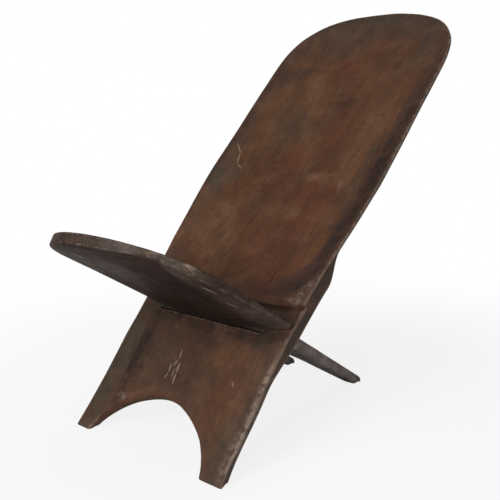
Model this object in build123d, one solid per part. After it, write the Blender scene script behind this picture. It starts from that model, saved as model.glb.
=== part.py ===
from build123d import *
import os
from math import cos, radians, sin

# A birthing chair of two carved planks, one sliding through the other.
#
# The back plank leans backwards on two front feet.  The seat plank runs uphill towards the
# sitter through a slot in the back plank, its shoulders stop against the front face, and its
# forked tail reaches down behind as the two rear legs.
#
# Millimetres and degrees.  X runs across, Y towards the rear, Z up.  Each plank is worked in
# the order a carver works it: the bent blank, the sawn outline, then the hollows and bevels.

# ---- Back plank: how it leans --------------------------------------------------------
back_length = 807.0            # up the front face, ground to crown
foot_lean = 37.2               # from upright, where it meets the ground
blade_lean = 45.9              # from upright, over the straight blade above the bend
bend_length = 352.5            # of the front face, from the ground to the straight blade

# ---- Back plank: its outline, as widths and heights up the front face ----------------
foot_spread = 279.0            # across the outsides of the two front feet
waist_width = 272.0
waist_height = 50.0
hip_height = 167.0             # above it the plank widens into the blade
blade_width = 318.0
blade_height = 472.0           # full width is reached here
crown_length = 131.0           # the rounded top of the blade
crown_fullness = 0.70          # 0.55 is an ellipse, 1 is square
arch_width = 212.0             # between the front feet
arch_height = 81.0
arch_offset = -5.0             # of its middle from the plank's, across X
arch_fullness = 0.42

# ---- Back plank: its thickness, edge and middle ---------------------------------------
blade_edge = 6.0
blade_middle = 18.0
boss_edge = 27.0               # the thick band behind the slot
boss_middle = 36.0
boss_low = 207.0               # the band is full between these heights
boss_high = 288.0
boss_foot_fade = 78.0          # over which it dies away below
boss_head_fade = 48.0          # and above
leg_edge = 16.5
leg_middle = 22.0
toe_edge = 13.0                # the front feet thin out towards the ground
toe_middle = 15.0
toe_fade = 120.0
back_roundness = 4             # power of the curve from the middle to the edge

# ---- Back plank: the hollow, its lip and the lower panel ------------------------------
hollow_depth = 8.0
rim_width = 7.0                # flat left between the hollow and the plank's edge
hollow_side_slope = 27.0       # width of the hollow's sloping side
hollow_foot_slope = 34.0
hollow_head_slope = 70.0
hollow_foot_height = 246.0     # lip of the hollow, up the front face
hollow_head_margin = 16.0
hollow_corner = 78.0           # round corner at the foot of the hollow
lip_height = 233.0             # below it the lower panel is set back
lip_step = 2.0
border_width = 36.0            # bevelled border down each side of the lower panel
border_drop = 4.0
border_fade = 90.0             # the border's bevel dies out over this height above the toes
arch_bevel = 9.0               # scooped front edge over the arch, dying out at the feet
arch_bevel_depth = 5.0

# ---- Seat plank -----------------------------------------------------------------------
seat_slope = 32.2              # rise towards the sitter
seat_height_on_back = 217.5    # seat's top on the front face, up that face
seat_reach = 240.0             # seat's top, front face of the back to the seat's tip
seat_width = 276.0
seat_root_width = 270.0        # across the shoulders
seat_corner_length = 118.0     # rounded front of the seat
seat_fullness = 0.66
seat_front_edge = 16.5         # thickness of the seat's rim at its tip
seat_root_edge = 8.0           # and at the shoulders
belly_roundness = 3            # power of the curve from the belly to the edge
seat_root = 21.5               # thickness of the middle at the shoulders
seat_hollow_depth = 5.0
seat_hollow_margin = 20.0      # level rim left round the seat's hollow
seat_hollow_slope = 44.0       # width of the hollow's sloping side
tail_root_width = 201.0        # through the slot
tail_foot_width = 158.0        # across the outsides of the two rear feet
tail_root_thickness = 20.0
tail_foot_thickness = 15.0
tail_roundness = 0.45          # corner radius, as a share of the tail's thickness
toe_roundness = 0.55           # radius of the rounded tips, as a share of the same
tail_length = 298.0            # along its top, beyond the front face of the back
fork_length = 173.0            # crotch of the fork, from the toes
fork_width = 106.0             # between the rear feet
fork_root_width = 84.0
fork_round = 74.0              # rounded crotch
fork_fullness = 0.55

# ---- Fits and finish ------------------------------------------------------------------
slot_clearance = 1.2           # all round the tail in its slot
shoulder_clearance = 0.4       # shoulders to the front face
overshoot = 40.0               # by which a tool runs past the wood it cuts
run_in = 0.25                  # a hollow's cutter starts this share of its slope outside
contour_steps = 5              # contours that shape the sloping side of a hollow
section_steps = 10             # points across a plank's rounded side
blank_steps = 32               # sections along the bent board
border_steps = 12              # sections along the bevelled border

bend_radius = bend_length / radians(blade_lean - foot_lean)


def lean_at(height):
    """Lean from upright, in degrees, at a height up the front face."""
    return foot_lean + (blade_lean - foot_lean) * min(height / bend_length, 1.0)


def face_plane(height):
    """Cross-section plane of the back plank: x across, y into the wood, z up the face."""
    low, lean = radians(foot_lean), radians(lean_at(height))
    y = bend_radius * (cos(low) - cos(lean))
    z = bend_radius * (sin(lean) - sin(low))
    straight = max(height - bend_length, 0.0)
    origin = (0, y + straight * sin(lean), z + straight * cos(lean))
    return Plane(origin=origin, x_dir=(1, 0, 0), z_dir=(0, sin(lean), cos(lean)))


def blade_plane():
    """Plane of the blade's front face: x across, y up the face from the ground, z out."""
    lean = radians(blade_lean)
    bend = face_plane(bend_length)
    origin = bend.origin - Vector(0, sin(lean), cos(lean)) * bend_length
    return Plane(origin=origin, x_dir=(1, 0, 0), z_dir=(0, -cos(lean), sin(lean)))


def blend(start, end, share):
    """From start to end as share runs from 0 to 1, easing in and out."""
    share = min(max(share, 0.0), 1.0)
    return start + (end - start) * (3 * share ** 2 - 2 * share ** 3)


def thickness(height, toe, leg, boss, blade):
    """Thickness at a height up the front face, from its values at four levels."""
    if height > boss_high:
        return blend(boss, blade, (height - boss_high) / boss_head_fade)
    if height > boss_low - boss_foot_fade:
        return blend(boss, leg, (boss_low - height) / boss_foot_fade)
    return blend(toe, leg, height / toe_fade)


def half_width(height):
    """Half the back plank's width above the waist, as it swells into the blade."""
    share = (height - hip_height) / (blade_height - hip_height)
    return blend(waist_width, blade_width, share) / 2


def mirrored(right_side):
    """A closed face from the right-hand edges of a symmetric outline, foot to head."""
    edges = list(right_side) + [mirror(edge, about=Plane.YZ) for edge in right_side]
    for end in (right_side[0] @ 0, right_side[-1] @ 1):
        if abs(end.X) > 1e-6:
            edges.append(Line((-end.X, end.Y), (end.X, end.Y)))
    return make_face(Curve() + edges)


def quarter(corner, reach, fullness):
    """Quarter round from beside `corner` to above it; `reach` is (across, along)."""
    across, along = reach
    x, y = corner
    return Bezier((x, y - along), (x, y - along + fullness * along),
                  (x - across + fullness * across, y), (x - across, y))


def even_steps(low, high, count):
    """`count` + 1 evenly spaced stations from low to high."""
    return [low + (high - low) * step / count for step in range(count + 1)]


def rounded_profile(side, edge, middle, roundness):
    """Cross-section of a board, level on one side: `middle` thick, `edge` thick at `side`."""
    reach = side + overshoot / 4
    curve = [(x, middle - (middle - edge) * abs(x / side) ** roundness)
             for x in even_steps(-reach, reach, section_steps)]
    return make_face(Curve() + [
        Line(curve[-1], (reach, 0)), Line((reach, 0), (-reach, 0)),
        Line((-reach, 0), curve[0]), Spline(curve)])


def hollow_contours():
    """(share of the slope, share of the depth) for each contour of a dished hollow."""
    return [(share, sin(radians(90 * share)))
            for share in even_steps(-run_in, 1.0, contour_steps)]


def through_wood(plane, shape):
    """A prism of `shape`, drawn on `plane`, that passes right through the back plank."""
    depth = boss_middle + 3 * overshoot
    return extrude(plane.offset(overshoot) * shape, amount=depth, dir=-plane.z_dir)


def ground():
    """The floor as a block, to cut feet flat."""
    side = 3 * back_length
    return Pos(0, 0, -side / 2) * Box(side, side, side)


# ---- Back plank -----------------------------------------------------------------------
def back_section(height):
    """Cross-section of the bent board: flat in front and rounded behind."""
    edge = thickness(height, toe_edge, leg_edge, boss_edge, blade_edge)
    middle = thickness(height, toe_middle, leg_middle, boss_middle, blade_middle)
    profile = rounded_profile(half_width(height), edge, middle, back_roundness)
    return face_plane(height) * profile


def back_blank():
    """The bent board, thickest in a band behind the slot."""
    heights = even_steps(-overshoot, back_length + overshoot, blank_steps)
    return loft([back_section(height) for height in heights])


def back_outline():
    """The sawn outline of the back plank, drawn flat from the ground up."""
    foot, waist, blade = foot_spread / 2, waist_width / 2, blade_width / 2
    third = (blade_height - hip_height) / 3
    return mirrored([
        Line((foot, -overshoot), (foot, 0)),
        Bezier((foot, 0), (waist, waist_height / 2), (waist, waist_height)),
        Line((waist, waist_height), (waist, hip_height)),
        Bezier((waist, hip_height), (waist, hip_height + third),
               (blade, blade_height - third), (blade, blade_height)),
        Line((blade, blade_height), (blade, back_length - crown_length)),
        quarter((blade, back_length), (blade, crown_length), crown_fullness),
    ])


def arch_outline(raised=0.0):
    """The arch between the front feet; `raised` lifts its crown."""
    half, height = arch_width / 2, arch_height + raised
    return Pos(arch_offset, 0) * mirrored([
        Line((half, -overshoot), (half, 0)),
        quarter((half, height), (half, height), arch_fullness),
    ])


def arch_cutter():
    """The arch with its scooped front edge."""
    face = panel_plane(arch_height)
    scoop = loft([
        face.offset(arch_bevel_depth) * arch_outline(2 * arch_bevel),
        face * arch_outline(arch_bevel),
        face.offset(-arch_bevel_depth) * arch_outline(),
    ], ruled=True)
    return through_wood(blade_plane(), arch_outline()) + scoop


def panel_plane(height):
    """Plane on the set-back lower panel: x across, y up the panel, z out of the wood."""
    section = face_plane(height)
    origin = section.origin + section.y_dir * lip_step - section.z_dir * height
    return Plane(origin=origin, x_dir=(1, 0, 0), z_dir=-section.y_dir)


def setback_cutter():
    """Wood cleared in front of the lower panel, with a bevel down each border."""
    half = blade_width / 2 + overshoot
    flat = waist_width / 2 - border_width
    sections = []
    for height in even_steps(-overshoot, lip_height, border_steps):
        drop = blend(0.0, border_drop, height / border_fade)
        outer = lip_step + drop * (half - flat) / border_width
        profile = make_face(Polyline(
            (-half, outer), (-flat, lip_step), (flat, lip_step), (half, outer),
            (half, -overshoot), (-half, -overshoot), (-half, outer)))
        sections.append(face_plane(height) * profile)
    return loft(sections)


def hollow_outline(share):
    """Contour of the hollow: 0 at its lip, 1 where its sloping sides reach the floor."""
    inset = rim_width + share * hollow_side_slope
    low = hollow_foot_height + share * hollow_foot_slope
    high = back_length - hollow_head_margin - share * hollow_head_slope
    corner = hollow_corner
    turn = low + corner
    sides = [turn + (blade_height - turn) * part / 3 for part in range(4)]
    flank = [(half_width(height) - inset, height) for height in sides]
    edge, blade = flank[0][0], flank[-1][0]
    crown = high - (back_length - crown_length)
    return mirrored([
        Line((0, low), (edge - corner, low)),
        Bezier((edge - corner, low), (edge - corner / 3, low), (edge, low + corner / 3), flank[0]),
        Spline(flank, tangents=[(0, 1), (0, 1)]),
        Line((blade, blade_height), (blade, high - crown)),
        quarter((blade, high), (blade, crown), crown_fullness),
    ])


def hollow_cutter():
    """The blade's hollow: contours stacked from above the face down to the floor."""
    return loft([
        blade_plane().offset(-depth * hollow_depth) * hollow_outline(share)
        for share, depth in hollow_contours()])


def make_back_plank():
    """The back plank, finished apart from its slot."""
    plank = back_blank() & through_wood(blade_plane(), back_outline())
    plank -= setback_cutter()
    plank -= hollow_cutter()
    plank -= arch_cutter()
    return plank - ground()


# ---- Seat plank -----------------------------------------------------------------------
def seat_plane():
    """Plane of the seat's top: x across, y down the tail, z up out of the wood."""
    slope = radians(seat_slope)
    section = face_plane(seat_height_on_back)
    origin = section.origin + section.y_dir * lip_step
    return Plane(origin=origin, x_dir=(1, 0, 0), z_dir=(0, sin(slope), cos(slope)))


def seat_section(forward):
    """Cross-section of the seat: level on top, bellied below, `forward` of the back."""
    share = 1 - forward / seat_reach
    edge = seat_front_edge + (seat_root_edge - seat_front_edge) * share
    middle = seat_front_edge + (seat_root - seat_front_edge) * share
    plane = seat_plane()
    station = Plane(origin=plane.origin - plane.y_dir * forward, x_dir=(-1, 0, 0),
                    z_dir=-plane.y_dir)
    return station * rounded_profile(seat_width / 2, edge, middle, belly_roundness)


def seat_outline():
    """The seat from above, from beyond its shoulders to its rounded front."""
    half, root = seat_width / 2, seat_root_width / 2
    wide = seat_reach - seat_corner_length
    return mirrored([
        Line((root, -overshoot), (root, 0)),
        Bezier((root, 0), (half, wide / 2), (half, wide)),
        quarter((half, seat_reach), (half, seat_corner_length), seat_fullness),
    ])


def dish_outline(share):
    """Contour of the seat's hollow: 0 at its rim, 1 where its sloping side ends."""
    inset = seat_hollow_margin + share * seat_hollow_slope
    half, reach = seat_width / 2 - inset, seat_reach - inset
    middle = (reach + inset) / 2
    return mirrored([
        Bezier((0, inset), (half * seat_fullness, inset),
               (half, middle - (middle - inset) * seat_fullness), (half, middle)),
        quarter((half, reach), (half, reach - middle), seat_fullness),
    ])


def seat_hollow():
    """The shallow dish in the top of the seat."""
    plane = Plane(origin=seat_plane().origin, x_dir=(-1, 0, 0), z_dir=seat_plane().z_dir)
    return loft([
        plane.offset(-depth * seat_hollow_depth) * dish_outline(share)
        for share, depth in hollow_contours()])


def behind_shoulders():
    """Everything behind the seat's shoulders, parallel to the front face of the back."""
    side = 2 * back_length
    face = panel_plane(seat_height_on_back).offset(shoulder_clearance)
    return face * Pos(0, seat_height_on_back, -side / 2) * Box(side, side, side)


def tail_section(along):
    """Cross-section of the tail, `along` its top from the front face of the back."""
    share = along / tail_length
    width = tail_root_width + (tail_foot_width - tail_root_width) * share
    height = tail_root_thickness + (tail_foot_thickness - tail_root_thickness) * share
    plane = seat_plane()
    station = Plane(origin=plane.origin + plane.y_dir * along - plane.z_dir * height / 2,
                    x_dir=(1, 0, 0), z_dir=plane.y_dir)
    return station * RectangleRounded(width, height, tail_roundness * height)


def rounded_toes():
    """A block along the tail with a half-round nose, to round the tips of the legs."""
    nose = toe_roundness * tail_foot_thickness
    plane = seat_plane()
    side = Plane(origin=plane.origin, x_dir=plane.y_dir, z_dir=(-1, 0, 0))
    length = tail_length + overshoot
    profile = Pos(tail_length - nose - length / 2, 0) * Rectangle(length, 2 * overshoot)
    profile += Pos(tail_length - nose, -tail_foot_thickness / 2) * Circle(nose)
    return extrude(side * profile, amount=tail_root_width, both=True)


def fork_outline():
    """The space between the two rear legs, seen from above, toes at the near end."""
    foot, root = fork_width / 2, fork_root_width / 2
    crotch = tail_length - fork_length
    return mirrored([
        Line((foot, -overshoot), (foot, 0)),
        Line((foot, 0), (root, fork_length - fork_round)),
        quarter((root, fork_length), (root, fork_round), fork_fullness),
    ])


def make_seat_plank():
    """The seat plank: seat, tail through the slot, and two rear legs."""
    plane = seat_plane()
    front = Plane(origin=plane.origin, x_dir=(-1, 0, 0), z_dir=plane.z_dir)
    ends = (-overshoot, seat_reach + overshoot)
    seat = loft([seat_section(forward) for forward in ends])
    depth = seat_root + 2 * overshoot
    seat &= extrude(front.offset(overshoot) * seat_outline(), amount=depth, dir=-plane.z_dir)
    seat -= behind_shoulders()
    seat -= seat_hollow()
    tail = loft([tail_section(along) for along in (-overshoot, tail_length)])
    tail &= rounded_toes()
    toes = Plane(origin=plane.origin + plane.y_dir * tail_length, x_dir=(-1, 0, 0),
                 z_dir=plane.z_dir)
    tail -= extrude(toes.offset(overshoot) * fork_outline(), amount=depth, dir=-plane.z_dir)
    return seat + tail - ground()


def slot_cutter():
    """The slot for the tail, with its clearance, cut along the seat's slope."""
    plane = seat_plane()
    middle = plane.origin - plane.z_dir * tail_root_thickness / 2 - plane.y_dir * overshoot
    mouth = Plane(origin=middle, x_dir=(1, 0, 0), z_dir=plane.y_dir)
    width = tail_root_width + 2 * slot_clearance
    height = tail_root_thickness + 2 * slot_clearance
    corner = tail_roundness * tail_root_thickness + slot_clearance
    return extrude(mouth * RectangleRounded(width, height, corner),
                   amount=boss_middle + 3 * overshoot, dir=plane.y_dir)


def main():
    """Make both planks, stand them on their origin and write one file for each."""
    back_plank = make_back_plank() - slot_cutter()
    seat_plank = make_seat_plank()
    box = Compound([back_plank, seat_plank]).bounding_box()
    to_origin = Pos(-box.center().X, -box.center().Y, -box.min.Z)
    os.makedirs("parts", exist_ok=True)
    for name, plank in (("back_plank", back_plank), ("seat_plank", seat_plank)):
        # the move can leave a face a hair off its edges, which fix closes
        export_step((to_origin * plank).fix(), f"parts/{name}.step")
    print("origin moved by", to_origin.position)


main()
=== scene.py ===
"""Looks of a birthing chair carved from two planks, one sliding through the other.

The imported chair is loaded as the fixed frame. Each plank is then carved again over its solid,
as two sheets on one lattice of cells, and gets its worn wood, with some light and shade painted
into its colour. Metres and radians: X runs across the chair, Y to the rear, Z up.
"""

import logging
import math
from abc import ABC, abstractmethod
from dataclasses import dataclass
from enum import Enum
from typing import Any, Callable

import bpy
import numpy as np
from mathutils import Matrix, Vector
from numpy.typing import NDArray


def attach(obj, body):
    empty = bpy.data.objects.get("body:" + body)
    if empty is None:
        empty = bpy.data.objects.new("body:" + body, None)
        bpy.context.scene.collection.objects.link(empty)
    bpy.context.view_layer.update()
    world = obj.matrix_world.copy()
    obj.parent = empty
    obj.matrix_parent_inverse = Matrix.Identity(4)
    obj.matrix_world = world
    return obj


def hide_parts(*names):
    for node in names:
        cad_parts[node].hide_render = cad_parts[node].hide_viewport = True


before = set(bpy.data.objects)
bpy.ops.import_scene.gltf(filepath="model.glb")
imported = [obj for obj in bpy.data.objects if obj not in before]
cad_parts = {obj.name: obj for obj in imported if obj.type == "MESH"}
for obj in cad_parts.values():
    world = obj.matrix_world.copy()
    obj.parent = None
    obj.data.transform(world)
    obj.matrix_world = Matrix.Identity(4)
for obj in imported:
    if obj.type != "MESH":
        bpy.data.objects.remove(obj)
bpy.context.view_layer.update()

Array = NDArray[np.float64]
Mask = NDArray[np.bool_]
Indices = NDArray[np.int64]
Depth = Callable[[Array, Array], Array]
Pair = tuple[float, float]
Triple = tuple[float, float, float]
Levels = tuple[float, float, float, float]
ARRIS_LINES = np.array([0.0, 0.0003, 0.0009, 0.0018, 0.0030, 0.0046])  # of a lattice, from an edge
NOISE_TILE = 61  # cells after which soft noise repeats
STROKE_TILE = 53  # strokes after which tool marks repeat
STROKE_JITTER = (0.15, 0.85)  # shares of its cell between which a stroke's middle lies
STROKE_UNEVEN = 0.35  # how far strokes differ in depth
STIR = 0.35  # how far noise stirs a patch's outline, in units of its size
STIR_SIZE = (0.7, 0.7)
STIR_SEEDS = (100, 200)  # of a tuple's first patch, across and along
HALVINGS = 18  # steps in which a place in a hollow is found
SETTLE_ROUNDS = 6  # steps in which a row settles onto a slanting cut
EDGE_BATCH = 16  # edges measured at a time
EDGE_REACH = 0.030  # distance past which an edge is not felt
CURVE_SAMPLES = 400
ARRIS_FADE = 0.006  # distance over which the mark of an arris fades
WALL_STEPS = 5
WALL_WEAR = 0.25  # how worn a wall is beside its arris
log = logging.getLogger("chair")


class Sheet(Enum):
    """The two broad faces of a plank."""

    OUTER = "outer"  # the face the sitter touches
    INNER = "inner"  # the face behind it or under it

    def seed(self, first: int) -> int:
        """A seed of the sheet's own: the first for the outer one, the next for the inner."""
        return first if self is Sheet.OUTER else first + 1


class Tone(Enum):
    """What age and use lay over the wood, with some painted light and shade, in the order in which
    they lie.
    """

    RED = "red"  # wood that hands keep oiled
    OCHRE = "ochre"  # wood bleached by light; on the seat's underside also a painted lit band
    VIOLET = "violet"  # old polish gone cold; also painted shade on the hollow's right slope and in a crease
    GREY = "grey"  # weathered, greenish grey; also painted light on the front of the seat's underside
    ASH = "ash"  # dry wood gone silver; on the seat's underside and its tail partly painted light
    DARK = "dark"  # grime, and painted shade under the seat, under the lip and in creases
    PALE = "pale"  # bare wood where the skin has rubbed off


@dataclass(frozen=True)
class TonePatch:
    """A soft-edged oval patch of one tone on a plank's face; some are real staining, some painted
    light and shade.
    """

    tone: Tone
    at: Pair  # across, along
    size: Pair  # half its width and half its length
    strength: float = 0.6
    turn: float = 0.0  # of its length towards -X, in degrees


# ---- Curves and relief ----
def ease(low: float, high: float, value: Array) -> Array:
    """Rise smoothly from 0 at `low` to 1 at `high`: three squares less two cubes.

    Args:
        low: Value at which the rise starts.
        high: Value at which it ends.
        value: Where to measure it.

    Returns:
        The share risen, from 0 to 1.
    """
    share = np.clip((value - low) / (high - low), 0.0, 1.0)
    return share * share * (3.0 - 2.0 * share)


def bezier(points: list[Pair]) -> Array:
    """Sample a cubic curve: its four points weighted by the cubic Bernstein polynomials.

    Args:
        points: The four points that shape it.

    Returns:
        The samples, one (across, along) pair a row.
    """
    t = np.linspace(0.0, 1.0, CURVE_SAMPLES)[:, None]
    weights = np.hstack([(1 - t) ** 3, 3 * t * (1 - t) ** 2, 3 * t * t * (1 - t), t ** 3])
    return weights @ np.array(points)


def quarter(corner: Pair, reach: Pair, fullness: float) -> Array:
    """Quarter round from beside a corner to above it.

    Args:
        corner: The (across, along) corner that it cuts off.
        reach: How far it reaches across and along.
        fullness: 0.55 is an ellipse and 1 is square.

    Returns:
        The samples of the curve.
    """
    (x, y), (across, along) = corner, reach
    return bezier([(x, y - along), (x, y - along + fullness * along),
                   (x - across + fullness * across, y), (x - across, y)])


def walk(path: Array, shares: Array) -> Array:
    """Points at given shares of a path's length, found along its running length.

    Args:
        path: Points of the path.
        shares: Shares of its length, from 0 to 1.

    Returns:
        The points.
    """
    steps = np.linalg.norm(np.diff(path, axis=0), axis=1)
    run = np.concatenate([[0.0], np.cumsum(steps)])
    target = np.asarray(shares) * run[-1]
    return np.stack([np.interp(target, run, path[:, k]) for k in range(path.shape[1])], axis=1)


def mirrored(curve: Array) -> Array:
    """A run from left to right: a curve's mirror image, then the curve from the middle back."""
    return np.concatenate([curve * (-1, 1), curve[::-1][1:]])


def inside_shares(count: int) -> Array:
    """Even places between -1 and 1 that divide a span into a count of cells, ends left out."""
    return np.linspace(-1.0, 1.0, count + 1)[1:-1]


def margined(length: float, count: int, low: bool = True, high: bool = True) -> Array:
    """Shares from 0 to 1, evenly spaced but closing up at the ends, to round an arris.

    Args:
        length: Length that the shares are of.
        count: Number of steps.
        low: Whether they close up at the start.
        high: Whether they close up at the end.

    Returns:
        The count + 1 shares.
    """
    margin = ARRIS_LINES / length
    head = margin if low else np.zeros(1)
    tail = (1.0 - margin)[::-1] if high else np.ones(1)
    middle = np.linspace(head[-1], tail[0], count + 3 - len(head) - len(tail))
    return np.concatenate([head[:-1], middle, tail[1:]])


def soft_noise(across: Array, along: Array, size: Pair, seed: int) -> Array:
    """Smooth random relief: random heights at the corners of cells, eased between them.

    Args:
        across, along: Places on the face.
        size: A cell's width and length.
        seed: Picks the heights.

    Returns:
        Heights from -1 to 1.
    """
    heights = np.random.default_rng(seed).uniform(-1.0, 1.0, (NOISE_TILE, NOISE_TILE))
    column, row = across / size[0], along / size[1]
    i, j = np.floor(column).astype(int), np.floor(row).astype(int)
    u, v = ease(0.0, 1.0, column - i), ease(0.0, 1.0, row - j)
    i, j, right, up = [k % NOISE_TILE for k in (i, j, i + 1, j + 1)]
    near = heights[i, j] * (1 - u) + heights[right, j] * u
    far = heights[i, up] * (1 - u) + heights[right, up] * u
    return near * (1 - v) + far * v


def tool_marks(across: Array, along: Array, size: Pair, seed: int) -> Array:
    """Scalloped facets left by an adze: each place takes the deepest of the strokes near it.

    A stroke is a shallow bowl about a jittered centre, so its height is the squared distance
    from that centre in units of a stroke's size, and the lowest bowl wins.

    Args:
        across, along: Places on the face.
        size: A stroke's width and length.
        seed: Picks the strokes.

    Returns:
        Heights from 0 in a stroke's middle to about 1 on the ridges between strokes.
    """
    jitter = np.random.default_rng(seed).uniform(*STROKE_JITTER, (STROKE_TILE, STROKE_TILE, 3))
    column, row = across / size[0], along / size[1]
    i, j = np.floor(column).astype(int), np.floor(row).astype(int)
    lowest = np.full(np.shape(across), np.inf)
    for di in (-1, 0, 1):
        for dj in (-1, 0, 1):
            centre = jitter[(i + di) % STROKE_TILE, (j + dj) % STROKE_TILE]
            gap_u = column - (i + di) - centre[..., 0]
            gap_v = row - (j + dj) - centre[..., 1]
            bowl = gap_u ** 2 + gap_v ** 2 + STROKE_UNEVEN * centre[..., 2]
            lowest = np.minimum(lowest, bowl)
    return lowest


def patch_strengths(across: Array, along: Array, tone_patches: tuple[TonePatch, ...]) -> dict[str, Array]:
    """How strongly each tone lies at each place.

    A patch fades as a bell, exp(-r^4), of the distance r from its middle in units of its size.
    Its outline is stirred by soft noise, and patches of one tone add up like coats of paint.

    Args:
        across, along: Places on the face.
        tone_patches: The patches, real staining and painted light and shade alike.

    Returns:
        The strength, from 0 to 1, by the name of the tone.
    """
    bare = {tone.value: np.ones(across.shape) for tone in Tone}
    for number, tone_patch in enumerate(tone_patches):
        turn = math.radians(tone_patch.turn)
        x, y = across - tone_patch.at[0], along - tone_patch.at[1]
        u = (x * math.cos(turn) + y * math.sin(turn)) / tone_patch.size[0]
        v = (y * math.cos(turn) - x * math.sin(turn)) / tone_patch.size[1]
        u = u + STIR * soft_noise(u + 7, v + 9, STIR_SIZE, STIR_SEEDS[0] + number)
        v = v + STIR * soft_noise(u + 7, v + 9, STIR_SIZE, STIR_SEEDS[1] + number)
        bare[tone_patch.tone.value] *= 1 - tone_patch.strength * np.exp(-(u * u + v * v) ** 2)
    return {tone: 1 - left for tone, left in bare.items()}


def coated(under: Array, over: Array) -> Array:
    """Two coats of one tone together: 1 less the product of what each leaves bare."""
    return 1 - (1 - under) * (1 - over)


def deepest_share(inside: Callable[[Array], Array], shape: tuple[int, ...]) -> Array:
    """How far in from a hollow's rim each place lies, by halving the range.

    Args:
        inside: Says for an array of shares which places lie inside those contours.
        shape: Shape of the places.

    Returns:
        0 at the rim and outside, 1 where the sloping side reaches the floor.
    """
    low, high = np.zeros(shape), np.ones(shape)
    for _ in range(HALVINGS):
        middle = (low + high) / 2
        within = inside(middle)
        low, high = np.where(within, middle, low), np.where(within, high, middle)
    return np.where(inside(np.zeros(shape)), high, 0.0)


# ---- Rows of a lattice ----
def settle(cut: Callable[[Array], Array], depth: Depth, across: Array, guess: float) -> Array:
    """Lay a row where a slanting cut meets a surface: measure its depth, cut there, and again.

    Args:
        cut: Height at which the cut meets a depth.
        depth: Depth of the surface.
        across: Places across.
        guess: Height to start from.

    Returns:
        The heights along.
    """
    along = np.full(np.shape(across), guess)
    for _ in range(SETTLE_ROUNDS):
        along = cut(depth(across, along))
    return along


def widened(row: Array, fixed: float, edge: float, wide: Any) -> Array:
    """Stretch a row out to a new width, by a share that grows evenly from a fixed part to its edge.

    Args:
        row: The row's places.
        fixed: Half the width that stays as it is.
        edge: Half the width as it is.
        wide: Half the width to reach.

    Returns:
        The row, stretched.
    """
    share = np.clip((np.abs(row[:, 0]) - fixed) / (edge - fixed), 0.0, 1.0)
    stretched = row.copy()
    stretched[:, 0] += np.sign(row[:, 0]) * share * (wide - edge)
    return stretched


def blended(first: Array, last: Array, right: Array, across: Array, along: Array) -> Array:
    """Fill four sides with rows: each pair of sides blended, less their shared bilinear part.

    Args:
        first: The first row.
        last: The last row.
        right: The right side, whose mirror image is the left.
        across: Shares across at which the columns lie.
        along: Shares along at which the rows lie.

    Returns:
        The rows.
    """
    w, a, left = along[:, None, None], across[None, :, None], right * (-1, 1)
    corners = ((1 - w) * ((1 - a) * first[0] + a * first[-1])
               + w * ((1 - a) * last[0] + a * last[-1]))
    return (1 - w) * first + w * last + (1 - a) * left[:, None] + a * right[:, None] - corners


# ---- Sheets, cells and walls ----
def border(cells: Mask) -> tuple[Indices, Indices]:
    """The edges where the cells of a lattice stop, turning left round the cells.

    Args:
        cells: Which cells of the lattice are wood.

    Returns:
        The flat indices of each edge's first and last lattice point.
    """
    rows, columns = cells.shape
    index = np.arange((rows + 1) * (columns + 1)).reshape(rows + 1, columns + 1)
    here, right, above, corner = index[:-1, :-1], index[:-1, 1:], index[1:, :-1], index[1:, 1:]
    around = np.pad(cells, 1)
    sides = ((around[:-2, 1:-1], here, right), (around[1:-1, 2:], right, corner),
             (around[2:, 1:-1], corner, above), (around[1:-1, :-2], above, here))
    first = [a[cells & ~beyond] for beyond, a, _ in sides]
    last = [b[cells & ~beyond] for beyond, _, b in sides]
    return np.concatenate(first), np.concatenate(last)


def gap_to_edges(places: Array, starts: Array, ends: Array, reach: float) -> Array:
    """Distance from each place to the nearest of some edges, up to a reach.

    The edges are taken a batch at a time, and only places in the box round them are measured:
    the distance to an edge is that to its nearest point, found by projecting onto it.

    Args:
        places: Places on the face, (across, along) on the last axis.
        starts: First points of the edges.
        ends: Last points of the edges.
        reach: Distance past which the answer is just `reach`.

    Returns:
        The distances.
    """
    flat = places.reshape(-1, 2)
    nearest = np.full(len(flat), reach)
    for k in range(0, len(starts), EDGE_BATCH):
        a, b = starts[k:k + EDGE_BATCH], ends[k:k + EDGE_BATCH]
        low = np.minimum(a, b).min(axis=0) - reach
        high = np.maximum(a, b).max(axis=0) + reach
        close = np.flatnonzero(np.all((flat > low) & (flat < high), axis=1))
        offset = flat[close][:, None] - a
        run = b - a
        share = np.clip((offset * run).sum(-1) / np.maximum((run * run).sum(-1), 1e-18), 0.0, 1.0)
        gap = np.linalg.norm(offset - share[..., None] * run, axis=-1).min(axis=1)
        nearest[close] = np.minimum(nearest[close], gap)
    return nearest.reshape(places.shape[:-1])


def rounding(gap: Array, radius: Array) -> Array:
    """How far a rounded arris falls away: the rest of a circle's radius at that gap.

    Args:
        gap: Distance from the edge.
        radius: Radius of the rounding.

    Returns:
        The fall, from the radius at the edge itself to 0 one radius in.
    """
    inward = radius - np.minimum(gap, radius)
    return radius - np.sqrt(np.maximum(radius ** 2 - inward ** 2, 0.0))


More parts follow.
